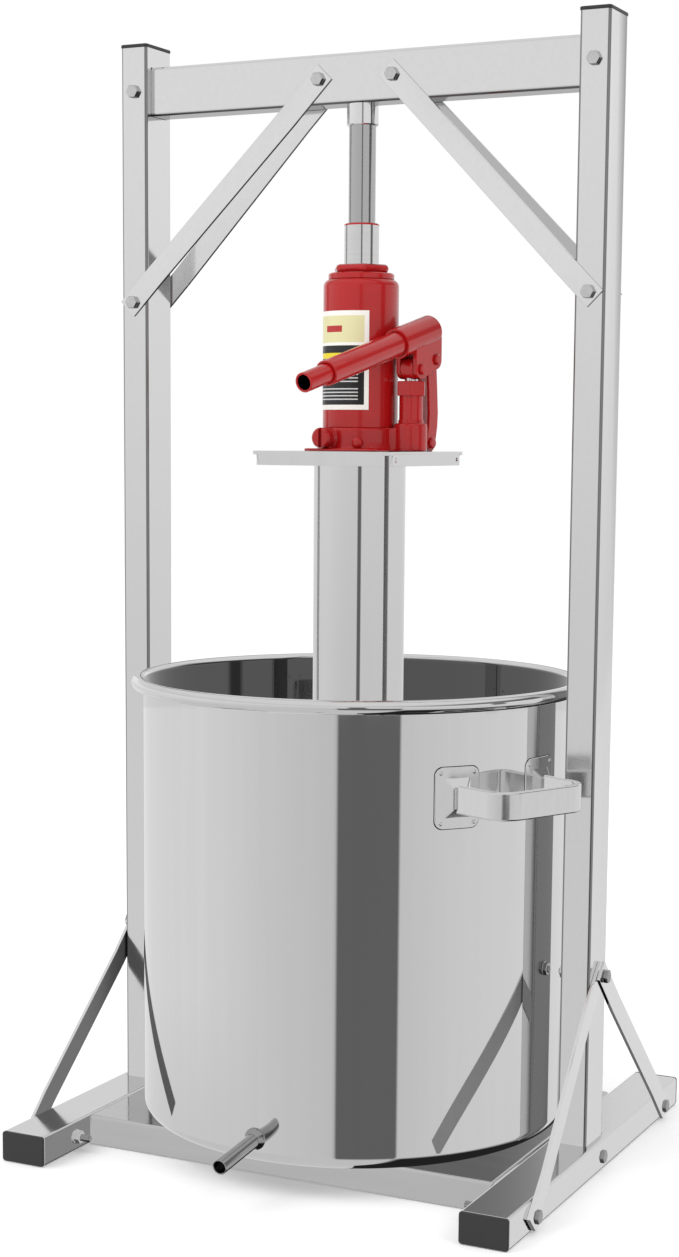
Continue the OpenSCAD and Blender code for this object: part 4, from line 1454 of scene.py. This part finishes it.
    def _pads(self) -> None:
        """Builds the handle pads with their raised middles, and the spot welds on them."""
        w, h, t, seam = self.pad_w, self.pad_h, self.pad_t, 2 * self.seam_w
        plate = soften(self._pad_sheet("pad_plate", w, h, t), self.pad_edge, angle=50.0)
        # A thin dark sheet round each pad: painted shadow of the gap round it
        line = self._pad_sheet("pad_seam", w + seam, h + seam, self.seam_t)
        lines = array_of(line, "pad_seam_set", self._pad_places())
        lines.visible_glossy = False
        self.dress(lines, Body.POT, Look.BARE, [])
        pads = array_of(join("pad", [plate, self._boss()]), "handle_pad_set", self._pad_places())
        pads.visible_glossy = False
        self.dress(pads, Body.POT, Look.SATIN, ["handle_pads"], angle=40.0)
        fresh()
        bpy.ops.mesh.primitive_uv_sphere_add(segments=16, ring_count=8, radius=self.spot_r * MM)
        spot = bpy.context.active_object
        spot.scale = (self.spot_flatness, 1, 1)
        settle(spot)
        swing = math.degrees((w / 2 - self.spot_inset) / self.radius)
        out, up = self.radius + t + self.spot_rise, h / 2 - self.spot_inset
        spots = [place @ turn(y * swing, "Z") @ move(out, 0, z * up)
                 for place in self._pad_places() for y in (-1, 1) for z in (-1, 1)]
        self.dress(array_of(spot, "pad_spot_welds", spots), Body.POT, Look.SATIN, ["pad_rivets"], angle=60.0)


@dataclass
class PressColumn(SubAssembly):
    """Press disc, its flange, the column and the jack plate. Sizes in millimetres."""

    # Column tube
    radius: float = 38.0
    wall: float = 2.0
    edge: float = 0.4
    low: float = 40.0
    high: float = 579.0
    # Folded plate on the column
    plate_w: float = 122.0
    plate_d: float = 146.0
    sheet: float = 3.0
    fold_h: float = 11.5
    fold_root: float = 1.0
    bend: float = 0.8
    notch: float = 6.0
    hole_r: float = 2.0
    hole_inset: float = 12.0
    drill_spare: float = 5.0

    def build(self) -> None:
        """Builds the column's pieces."""
        self.dress_nodes(["press_disc", "disc_flange"], Look.POT, mirrored=False)
        column = rod("column_tube", self.radius, self.low, self.high, self.edge, steps=128,
                     bore=self.radius - self.wall)
        self.dress(column, Body.HEAD, Look.POT, ["press_column"])
        self._plate()

    def _plate(self) -> None:
        """Builds the folded jack plate with its corner notches and holes."""
        w, d, t, gap = self.plate_w / 2, self.plate_d / 2, self.sheet, self.notch
        low, root = self.high + t - self.fold_h, self.high + self.fold_root
        sheet = block("plate_sheet", (-w, -d, self.high), (w, d, self.high + t))
        edges = [block("plate_front", (-w + gap, -d, low), (w - gap, -d + t, root)),
                 block("plate_rear", (-w + gap, d - t, low), (w - gap, d, root)),
                 block("plate_left", (-w, -d + gap, low), (-w + t, d - gap, root)),
                 block("plate_right", (w - t, -d + gap, low), (w, d - gap, root))]
        reach = w + self.drill_spare
        for y in (-1, 1):
            drill = rod("plate_drill", self.hole_r, -reach, reach, chamfer=0.1, steps=24)
            settle(drill, move(0, y * (d - self.hole_inset), self.high - self.fold_h / 3) @ turn(90, "Y"))
            for edge in edges[2:]:
                cut(edge, copy(drill, "plate_drill_copy"))
            bpy.data.objects.remove(drill)
        for edge in edges:
            cut(sheet, edge, "UNION")
        sheet.name = "folded_plate"
        sheet.visible_glossy = False
        soften(sheet, self.bend, segments=3, angle=50.0)
        self.dress(sheet, Body.HEAD, Look.POT, ["jack_plate"])


@dataclass
class Jack(SubAssembly):
    """Bottle jack: base casting, tank, nut, ram, pump, valve and label.

    Sizes in millimetres, angles in degrees. Points of turned pieces are radius and height, those of the lug
    distance and height.
    """

    # Base casting: flange, boss under the tank, web, lug and bosses of pump and valve
    underside: float = 582.0
    body_h: float = 19.0
    flange_w: float = 66.0
    flange_d: float = 79.0
    flange_t: float = 2.2
    flange_y: float = -3.5
    flange_corner: float = 8.0
    boss: Points = ((0, 0), (35.5, 0), (34.6, 4), (34, 8), (34, 18), (33, 19), (0, 19))
    web_half: float = 10.8
    lug: Points = ((0, 0), (28.8, 0), (28.8, 9.2), (24.2, 13.8), (0, 13.8))
    lug_t: float = 6.4
    boss_edge: float = 1.0
    valve_boss_r: float = 8.4
    valve_boss_l: float = 36.0
    skin_cell: float = 0.75
    skin_relax: float = 0.5
    skin_rounds: int = 5
    drain: Points = ((0, -4), (4.4, -4), (4.4, 2.2), (3.6, 3.2), (2, 3.8), (0, 4))
    drain_x: float = 13.0
    drain_y: float = -31.4
    drain_h: float = 6.7
    # Oil tank and its filler plug
    tank_r: float = 31.0
    tank_low: float = 601.0
    tank_wall: float = 2.5
    tank_edge_w: float = 0.6
    tank_edge_h: float = 0.8
    shoulder_r: float = 6.0
    shoulder_in: float = 8.0
    mouth_r: float = 21.5
    filler: Points = ((0, -1), (5, -1), (5, 2), (4.2, 2.8), (0, 3))
    filler_h: float = 81.0
    # Top nut
    collar_z: float = 721.4
    collar_r: float = 27.0
    collar_h: float = 4.8
    collar_edge: float = 1.0
    nut_top: float = 733.0
    nut_flats: float = 43.0
    nut_edge: float = 3.0
    nut_bore: float = 14.3
    # Rating label on the tank
    label_low: float = 615.5
    label_high: float = 695.0
    label_start: float = -168.0
    label_end: float = -52.0
    label_in: float = 0.05
    label_out: float = 0.3
    # Ram sleeve from its foot, its mouth and painted lip from its top, and the rod inside
    ram_top: float = 766.0
    ram_length: float = 126.0
    ram_foot: Points = ((0, 0), (17.25, 0), (17.25, 4), (15.25, 4), (15.25, 8), (17.25, 8), (17.25, 12),
                         (14.25, 12))
    ram_mouth: Points = ((14.25, -1.2), (13.2, 0), (11.5, 0), (11.05, -0.5))
    ram_floor: Points = ((11.05, 20), (0, 20))
    ram_lip: Points = ((11.3, -0.1), (13.0, -0.1), (14.1, -1.4), (14.45, -1.4), (14.3, -0.3), (13.3, 0.25),
                        (11.3, 0.25))
    rod_r: float = 11.0
    rod_hidden: float = 20.0
    rod_top: float = 855.7
    rod_edge: float = 0.8
    # Pump, by heights above the jack's underside
    pump_x: float = 46.0
    yaw: float = -9.0
    pump_boss_r: float = 13.5
    pump_boss_h: float = 23.0
    barrel: Points = ((5.55, 0), (10.4, 0), (10.4, 2), (9.7, 3.2), (9.7, 22), (5.55, 22))
    gland_h: float = 45.0
    gland_t: float = 12.0
    gland_flats: float = 22.0
    gland_edge: float = 1.0
    stem_bore: float = 5.55
    stem_r: float = 5.5
    stem_low: float = 30.0
    stem_high: float = 60.0
    stem_edge: float = 0.4
    pin_h: float = 66.5
    pin_bore: float = 3.05
    knuckle_r: float = 9.0
    knuckle_half: float = 5.9
    knuckle_edge: float = 1.4
    # Release valve: its knob from the boss outwards, and the slot in it
    valve_x: float = -14.0
    valve_y: float = -36.3
    valve_h: float = 10.75
    knob: Points = ((0, -12), (4, -12), (4, 0), (7.4, 0), (8.2, 0.9), (8.2, 8.4), (6.9, 10), (0, 10))
    slot_half: float = 1.5
    slot_reach: float = 9.0
    slot_low: float = 7.0
    drill_spare: float = 5.0

    def build(self) -> None:
        """Builds the jack's fixed and sliding pieces."""
        self.dress_nodes(["jack_cylinder"], Look.RAM)
        self.dress_nodes(["piston_seal"], Look.RUBBER)
        self._casting()
        self._tank()
        self._nut()
        self._label()
        self._ram()
        self._pump()
        self._valve()

    def at_pump(self, height: float) -> Matrix:
        """Place of the pump's frame: X across the lever, Y to the rear.

        Args:
            height: Height above the jack's underside.

        Returns:
            The matrix.
        """
        return move(self.pump_x, 0, self.underside + height) @ turn(self.yaw, "Z")

    def _casting(self) -> None:
        """Builds the base casting, with bosses and flange blended into one skin, and its drain screw."""
        low, high = self.underside, self.underside + self.body_h
        outline = rounded_outline(self.flange_w, self.flange_d, self.flange_corner, 0, self.flange_y)
        flange = settle(prism("cast_flange", outline, self.flange_t), move(0, 0, low))
        boss = lathe("cast_boss", raised(self.boss, low))
        pump = rod("cast_pump", self.pump_boss_r, 0, self.pump_boss_h, self.boss_edge, steps=64)
        settle(pump, self.at_pump(0))
        web = block("cast_web", (0, -self.web_half, low), (self.pump_x, self.web_half, high))
        lug = prism("cast_lug", self.lug, self.lug_t)
        settle(lug, self.at_pump(0) @ move(-self.lug_t / 2, 0, 0) @ turn(90, "Z") @ turn(90, "X"))
        valve = rod("cast_valve", self.valve_boss_r, 0, self.valve_boss_l, self.boss_edge, steps=64)
        settle(valve, move(self.valve_x, 0, low + self.valve_h) @ turn(90, "X"))
        casting = join("base_casting", [flange, boss, pump, web, lug, valve])
        only(casting)
        skin = casting.modifiers.new("skin", "REMESH")
        skin.mode = "VOXEL"
        skin.voxel_size = self.skin_cell * MM
        bpy.ops.object.modifier_apply(modifier=skin.name)
        relax = casting.modifiers.new("relax", "SMOOTH")
        relax.factor = self.skin_relax
        relax.iterations = self.skin_rounds
        bpy.ops.object.modifier_apply(modifier=relax.name)
        self.dress(casting, Body.HEAD, Look.ENAMEL, ["jack_base"], angle=60.0)
        screw = lathe("drain_dome", self.drain, steps=32)
        settle(screw, move(self.drain_x, self.drain_y, low + self.drain_h) @ turn(90, "X"))
        self.dress(screw, Body.HEAD, Look.ENAMEL, ["drain_screw"])

    def _tank(self) -> None:
        """Builds the oil tank and its filler plug."""
        r, low, top, bend = self.tank_r, self.tank_low, self.collar_z, self.shoulder_r
        inner = r - self.tank_wall
        profile = ([(inner, low), (r - self.tank_edge_w, low), (r, low + self.tank_edge_h)]
                   + arc(r - bend, top - bend, bend, 0, 90, 10)
                   + [(self.mouth_r, top), (self.mouth_r, top - self.tank_wall),
                      (inner, top - self.shoulder_in)])
        tank = lathe("oil_tank", profile, steps=128, closed=True)
        self.dress(tank, Body.HEAD, Look.ENAMEL, ["jack_tank"], angle=50.0)
        plug = lathe("filler_bung", self.filler, steps=40)
        settle(plug, move(0, r, low + self.filler_h) @ turn(-90, "X"))
        self.dress(plug, Body.HEAD, Look.RUBBER, ["filler_plug"])

    def _nut(self) -> None:
        """Builds the top nut with its collar."""
        low, top, seat = self.collar_z, self.nut_top, self.collar_z + self.collar_h
        r, edge, bore = self.collar_r, self.collar_edge, self.nut_bore
        profile = [(bore, low), (r, low), (r, seat - edge), (r - edge, seat), (bore, seat)]
        collar = lathe("nut_collar", profile, closed=True)
        crown = hexagon("nut_crown", self.nut_flats, top - seat, self.nut_edge)
        settle(crown, move(0, 0, seat))
        cut(crown, rod("nut_drill", bore, low, top + self.drill_spare, chamfer=0.1, steps=96))
        self.dress(join("top_nut", [collar, crown]), Body.HEAD, Look.ENAMEL, ["tank_nut"])

    def _label(self) -> None:
        """Builds the printed film on the tank."""
        inner, outer = self.tank_r + self.label_in, self.tank_r + self.label_out
        section = [(inner, self.label_low), (outer, self.label_low), (outer, self.label_high),
                   (inner, self.label_high)]
        film = lathe("tank_label", section, steps=48, closed=True, sweep=self.label_end - self.label_start,
                     start=self.label_start)
        self.dress(film, Body.HEAD, Look.LABEL, ["rating_label"], angle=50.0)

    def _ram(self) -> None:
        """Builds the ram sleeve, its painted lip and the rod inside it."""
        top, low = self.ram_top, self.ram_top - self.ram_length
        profile = raised(self.ram_foot, low) + raised(self.ram_mouth, top) + raised(self.ram_floor, low)
        self.dress(lathe("ram_tube", profile), Body.RAM, Look.RAM, ["ram_sleeve"])
        lip = lathe("ram_painted_lip", raised(self.ram_lip, top), closed=True)
        self.dress(lip, Body.RAM, Look.ENAMEL, [])
        inner = rod("inner_rod", self.rod_r, top - self.rod_hidden, self.rod_top, self.rod_edge, steps=96)
        self.dress(inner, Body.ROD, Look.ROD, ["ram_rod"])

    def _pump(self) -> None:
        """Builds the pump's barrel, gland nut and plunger."""
        barrel = lathe("pump_tube", self.barrel, steps=64, closed=True)
        settle(barrel, self.at_pump(self.pump_boss_h))
        self.dress(barrel, Body.HEAD, Look.ENAMEL, ["pump_barrel"])
        gland = hexagon("gland", self.gland_flats, self.gland_t, self.gland_edge)
        cut(gland, rod("gland_drill", self.stem_bore, -self.drill_spare, self.gland_t + self.drill_spare,
                       chamfer=0.1))
        self.dress(settle(gland, self.at_pump(self.gland_h)), Body.HEAD, Look.ENAMEL, ["gland_nut"])
        stem = rod("plunger_stem", self.stem_r, self.stem_low, self.stem_high, self.stem_edge)
        self.dress(settle(stem, self.at_pump(0)), Body.PLUNGER, Look.RAM, ["pump_plunger"])
        half = self.knuckle_half
        knuckle = rod("plunger_knuckle", self.knuckle_r, -half, half, self.knuckle_edge, bore=self.pin_bore)
        settle(knuckle, self.at_pump(self.pin_h) @ turn(90, "Y"))
        self.dress(knuckle, Body.PLUNGER, Look.ENAMEL, ["pump_plunger"])

    def _valve(self) -> None:
        """Builds the release valve's slotted knob."""
        knob = lathe("valve_knob", self.knob, steps=48)
        slot = block("valve_slot", (-self.slot_half, -self.slot_reach, self.slot_low),
                     (self.slot_half, self.slot_reach, self.slot_low + self.drill_spare))
        cut(knob, slot)
        settle(knob, move(self.valve_x, self.valve_y, self.underside + self.valve_h) @ turn(90, "X"))
        self.dress(knob, Body.VALVE, Look.ENAMEL, ["release_valve"])


@dataclass
class PumpLever(SubAssembly):
    """Handle socket with its ears and pins, the link, and the pump handle.

    Sizes in millimetres, angles in degrees. Points of turned pieces are radius and height.
    """

    jack: Jack
    # Socket, along the handle
    slope: float = 15.0
    socket_rise: float = 25.5
    socket: Points = ((0, -28), (11, -28), (12.5, -26.5), (12.5, 23), (11.9, 24), (10.5, 24), (10.1, 23.4),
                       (10.1, -24), (0, -24))
    # Ears under the socket and link bars behind them, by their distances from the lever's plane, and the
    # bars' bow as shares of its depth and of their length
    ear_in: float = 6.1
    ear_out: float = 10.1
    ear_r: float = 8.0
    ear_overlap: float = 6.0
    link_in: float = 3.45
    link_out: float = 5.85
    link_r: float = 6.5
    link_bow: float = 3.5
    bow_shares: Points = ((0.8, 0.2), (1.0, 0.36), (0.6, 0.65))
    plate_edge: float = 0.7
    # Pins, by their heights above the jack's underside, and their heads past the bars
    link_y: float = 22.0
    link_h: float = 75.0
    lug_h: float = 7.0
    pin_head: Points = ((3, 0.25), (4.5, 0.25), (4.5, 1.6), (3.4, 2.5), (0, 2.75))
    # Handle tube, its narrower tip and the dark bore in the tip
    tube_r: float = 10.0
    tube_bore: float = 7.85
    tube_start: float = -18.0
    tube_end: float = 124.0
    tube_edge: float = 0.6
    tip_r: float = 7.75
    tip_bore: float = 6.0
    tip_start: float = 94.0
    tip_end: float = 154.0
    tip_edge: float = 0.4
    skin_r: float = 5.98
    skin_bore: float = 5.8
    skin_start: float = 94.5
    skin_end: float = 153.2

    def build(self) -> None:
        """Builds the lever's pieces."""
        self._socket()
        self._ears()
        self._pins()
        self._link()
        self._handle()

    def at_handle(self) -> Matrix:
        """Place of the handle's frame: Z runs down along the handle.

        Returns:
            The matrix.
        """
        return self.jack.at_pump(self.jack.pin_h + self.socket_rise) @ turn(90 + self.slope, "X")

    def _socket(self) -> None:
        """Builds the handle socket with its thick lip and closed back."""
        socket = settle(lathe("lever_socket", self.socket, steps=64), self.at_handle())
        self.dress(socket, Body.LEVER, Look.ENAMEL, ["handle_socket"])

    def _side_plate(self, name: str, outline: Sequence[Point], inner: float, outer: float, height: float,
                    back: float = 0.0) -> bpy.types.Object:
        """Models a pair of flat bars on both sides of the lever's plane.

        Args:
            name: Name of the pair.
            outline: Outline (rearwards, up) in the lever's plane.
            inner: Inner face's distance from the plane.
            outer: Outer face's distance.
            height: Height of the outline's origin above the jack's underside.
            back: Rearward distance of the outline's origin.

        Returns:
            The pair, in place.
        """
        base = self.jack.at_pump(height) @ move(0, back, 0)
        plate = soften(prism(name, outline, outer - inner), self.plate_edge, angle=50.0)
        places = [base @ move(x, 0, 0) @ turn(90, "Z") @ turn(90, "X") for x in (inner, -outer)]
        return array_of(plate, name, places)

    def _ears(self) -> None:
        """Builds the ears that hang from the socket."""
        pin_h, y, r = self.jack.pin_h, self.link_y, self.ear_r
        slope, top = math.tan(math.radians(self.slope)), self.socket_rise - self.ear_overlap
        outline = (arc(0, 0, r, 200, 290, 6) + arc(y, self.link_h - pin_h, r, 290, 360, 6)
                   + [(y + r, top + (y + r) * slope), (-r, top - r * slope)])
        ears = self._side_plate("lever_ear_pair", outline, self.ear_in, self.ear_out, pin_h)
        self.dress(ears, Body.LEVER, Look.ENAMEL, ["lever_ears"])

    def _pin(self, name: str, half: float) -> bpy.types.Object:
        """Models a pin along X with domed heads.

        Args:
            name: Name of the pin.
            half: Distance from its middle to under its heads.

        Returns:
            The pin.
        """
        head = raised(self.pin_head, half)
        profile = [(r, -z) for r, z in reversed(head)] + head
        return settle(lathe(name, profile, steps=40), turn(90, "Y"))

    def _pins(self) -> None:
        """Builds the plunger's pin, the link's upper pin and the lug's pin."""
        for name, half, height, back, body, node in (
                ("plunger_cross_pin", self.ear_out, self.jack.pin_h, 0, Body.LEVER, "plunger_pin"),
                ("link_cross_pin", self.ear_out, self.link_h, self.link_y, Body.LINK, "link_pin"),
                ("lug_cross_pin", self.link_out, self.lug_h, self.link_y, Body.HEAD, "lug_pin")):
            pin = settle(self._pin(name, half), self.jack.at_pump(height) @ move(0, back, 0))
            self.dress(pin, body, Look.ENAMEL, [node])

    def _link(self) -> None:
        """Builds the pair of bowed link bars."""
        rise, r, bow = self.link_h - self.lug_h, self.link_r, self.link_bow
        outline = (arc(0, 0, r, 180, 360, 10)
                   + [(r + bow * out, rise * up) for out, up in self.bow_shares]
                   + arc(0, rise, r, 0, 180, 10)
                   + [(-r + bow * out, rise * up) for out, up in reversed(self.bow_shares)])
        bars = self._side_plate("link_bar_pair", outline, self.link_in, self.link_out, self.lug_h,
                                self.link_y)
        self.dress(bars, Body.LINK, Look.ENAMEL, ["link_bars"])

    def _handle(self) -> None:
        """Builds the handle tube and its narrower open tip."""
        place = self.at_handle()
        tube = rod("handle_tube", self.tube_r, self.tube_start, self.tube_end, self.tube_edge, steps=64,
                   bore=self.tube_bore)
        self.dress(settle(tube, place), Body.HANDLE, Look.ENAMEL, ["pump_handle"])
        tip = rod("handle_end", self.tip_r, self.tip_start, self.tip_end, self.tip_edge, steps=64,
                  bore=self.tip_bore)
        self.dress(settle(tip, place), Body.HANDLE, Look.ENAMEL, ["handle_tip"])
        skin = rod("handle_bore_skin", self.skin_r, self.skin_start, self.skin_end, chamfer=0.1, steps=64,
                   bore=self.skin_bore)
        self.dress(settle(skin, place), Body.HANDLE, Look.BARE, [])


@dataclass
class Studio:
    """Camera, floor, lights and surroundings. Sizes in millimetres, angles in degrees."""

    # Camera that was fitted to the photograph
    eye: Point = (788.44, -1634.45, 592.58)
    azimuth: float = 26.13
    elevation: float = 7.40
    roll: float = 0.43
    lens: float = 62.28
    sensor: float = 36.0
    shift: Point = (-0.0032, 0.0732)
    # Floor paper
    floor_size: float = 14000.0
    floor_drop: float = 0.5
    floor_patch: float = 500.0
    floor_rough: float = 0.9
    floor_glow: float = 0.16
    # Soft lights: name, place, size and power in watts
    lamps: Tuple[Tuple[str, Point, float, float], ...] = (
        ("key", (-1600, -1600, 2600), 2000, 26.0), ("fill", (2200, -600, 2200), 1600, 14.0))
    aim: Point = (0, 0, 450)
    # Dark panel behind the camera, from left to right
    panel_left: float = -11.0
    panel_right: float = 22.0
    panel_edge: float = 0.3
    # Light that rays meet other than mirrored ones
    even_light: float = 0.92
    # Heights of a mirrored direction: where the low band ends, how the high band brightens upwards, and where
    # each other band starts and is full
    horizon: float = -0.123
    brighten: Points = ((-0.1, 0.90), (0.14, 1.08))
    blends: Tuple[Tuple[Band, float, float], ...] = (
        (Band.SKY, 0.19, 0.23), (Band.CEILING, 0.5, 0.6), (Band.FOOT, -0.25, -0.31),
        (Band.GROUND, -0.45, -0.62))

    def build(self) -> None:
        """Sets up the studio."""
        self._camera()
        self._floor()
        self._lights()
        self._surroundings()
        bpy.context.scene.view_settings.view_transform = "Standard"

    def _camera(self) -> None:
        """Places the camera."""
        fresh()
        bpy.ops.object.camera_add(location=mm(self.eye))
        camera = bpy.context.active_object
        place = turn(self.azimuth, "Z") @ turn(90 - self.elevation, "X") @ turn(self.roll, "Z")
        camera.rotation_euler = place.to_euler()
        camera.data.sensor_width = self.sensor
        camera.data.lens = self.lens
        camera.data.shift_x, camera.data.shift_y = self.shift
        camera.data.dof.use_dof = False
        bpy.context.scene.camera = camera

    def _floor(self) -> None:
        """Lays a plain pale floor that the polished steel doesn't mirror."""
        fresh()
        bpy.ops.mesh.primitive_plane_add(size=self.floor_size * MM, location=mm((0, 0, -self.floor_drop)))
        floor = bpy.context.active_object
        floor.name = "studio_floor"
        floor.visible_glossy = False
        # Matt white paper, slightly uneven
        material, tree, surface = start_material("floor_paper")
        patches = surface_marks(tree, self.floor_patch)
        tone = add_node(tree, "ShaderNodeMix", {"0": patches, "6": srgb("#fbfbfb"), "7": srgb("#f7f7f7")},
                        data_type="RGBA")
        tree.links.new(tone.outputs[2], surface.inputs["Base Color"])
        surface.inputs["Roughness"].default_value = self.floor_rough
        surface.inputs["Specular IOR Level"].default_value = 0.0
        surface.inputs["Emission Color"].default_value = srgb("#ffffff")
        surface.inputs["Emission Strength"].default_value = self.floor_glow
        floor.data.materials.append(material)

    def _lights(self) -> None:
        """Hangs two large soft lights."""
        for name, place, size, power in self.lamps:
            fresh()
            bpy.ops.object.light_add(type="AREA", location=mm(place))
            light = bpy.context.active_object
            light.name = f"studio_{name}"
            light.data.size = size * MM
            light.data.energy = power
            way = mm(self.aim) - mm(place)
            light.rotation_euler = way.to_track_quat("-Z", "Y").to_euler()
            light.visible_glossy = False

    def _bands(self) -> Dict[Band, List[Tuple[float, float]]]:
        """Lists what the steel mirrors round the room in each band.

        Returns:
            Directions off the camera's side, from -180 to 180, with the brightness there.
        """
        left, right, edge = self.panel_left, self.panel_right, self.panel_edge
        panel = [(-48, 0.76), (left - edge, 0.68), (left, 0.15), (right, 0.15), (right + edge, 0.72),
                 (60, 0.80)]
        return {
            Band.LOW: [(-180, 0.86), (-90, 0.88)] + panel + [(100, 0.86), (180, 0.86)],
            Band.HIGH: [(-180, 0.86), (-90, 0.90), (-48, 0.84), (-6, 0.80), (-4, 0.16), (3, 0.16), (5, 0.84),
                        (68, 0.84), (70, 0.22), (76, 0.22), (79, 0.88), (180, 0.86)],
            Band.SKY: [(-180, 0.80), (0, 0.75), (30, 0.55), (60, 0.25), (105, 0.15), (118, 0.30), (135, 0.80),
                       (173.2, 0.80), (174.6, 0.18), (180, 0.18)],
            Band.CEILING: [(-180, 0.85), (180, 0.85)],
            Band.FOOT: [(-180, 0.82)] + panel + [(142, 0.84), (147, 0.02), (180, 0.02)],
            Band.GROUND: [(-180, 0.72), (20, 0.70), (26, 0.02), (180, 0.02)]}

    def _surroundings(self) -> None:
        """Builds a white room with dark panels for the steel to mirror."""
        world = bpy.data.worlds.new("studio")
        bpy.context.scene.world = world
        world.use_nodes = True
        tree = world.node_tree
        coords = add_node(tree, "ShaderNodeTexCoord")
        yaw = math.radians(self.azimuth)
        right, ahead = (add_node(tree, "ShaderNodeVectorMath", {"0": coords.outputs["Generated"], "1": way},
                                 operation="DOT_PRODUCT").outputs["Value"]
                        for way in ((math.cos(yaw), math.sin(yaw), 0), (math.sin(yaw), -math.cos(yaw), 0)))
        angle = add_node(tree, "ShaderNodeMath", {"0": right, "1": ahead}, operation="ARCTAN2")
        share = add_node(tree, "ShaderNodeMapRange",
                         {"Value": angle.outputs[0], "From Min": -math.pi, "From Max": math.pi})
        colours = {}
        for band, stops in self._bands().items():
            ramp = add_node(tree, "ShaderNodeValToRGB", {"Fac": share.outputs["Result"]})
            elements = ramp.color_ramp.elements
            while len(elements) < len(stops):
                elements.new(0.5)
            for element, (degrees, value) in zip(elements, stops):
                element.position = (degrees + 180) / 360
                element.color = (value, value, value, 1)
            colours[band] = ramp.outputs["Color"]
        split = add_node(tree, "ShaderNodeSeparateXYZ", {"Vector": coords.outputs["Generated"]})
        height = split.outputs["Z"]
        (low, dim), (top, bright) = self.brighten
        rise = add_node(tree, "ShaderNodeMapRange", {"Value": height, "From Min": low, "From Max": top,
                                                     "To Min": dim, "To Max": bright})
        high = add_node(tree, "ShaderNodeVectorMath",
                        {"0": colours[Band.HIGH], "Scale": rise.outputs["Result"]}, operation="SCALE")
        above = add_node(tree, "ShaderNodeMath", {"0": height, "1": self.horizon}, operation="GREATER_THAN")
        room = add_node(tree, "ShaderNodeMix", {"0": above.outputs[0], "6": colours[Band.LOW],
                                                "7": high.outputs["Vector"]}, data_type="RGBA")
        for band, start, full in self.blends:
            part = add_node(tree, "ShaderNodeMapRange",
                            {"Value": height, "From Min": start, "From Max": full})
            room = add_node(tree, "ShaderNodeMix", {"0": part.outputs["Result"], "6": room.outputs[2],
                                                    "7": colours[band]}, data_type="RGBA")
        # Mirrors see the room, other rays an even light, and the camera plain white
        path = add_node(tree, "ShaderNodeLightPath")
        even = (self.even_light, self.even_light, self.even_light, 1)
        lit = add_node(tree, "ShaderNodeMix", {"0": path.outputs["Is Glossy Ray"], "6": even,
                                               "7": room.outputs[2]}, data_type="RGBA")
        seen = add_node(tree, "ShaderNodeMix", {"0": path.outputs["Is Camera Ray"], "6": lit.outputs[2],
                                                "7": (1, 1, 1, 1)}, data_type="RGBA")
        background = tree.nodes["Background"]
        tree.links.new(seen.outputs[2], background.inputs["Color"])
        background.inputs["Strength"].default_value = 1.0


def main() -> None:
    """Builds the press and its studio."""
    logging.basicConfig(level=logging.INFO, format="%(name)s: %(message)s")
    finishes = Finishes()
    jack = Jack(finishes)
    for group in (TubeFrame(finishes), Pot(finishes), PressColumn(finishes), jack, PumpLever(finishes, jack)):
        group.build()
    Studio().build()


if __name__ == "__main__":
    main()
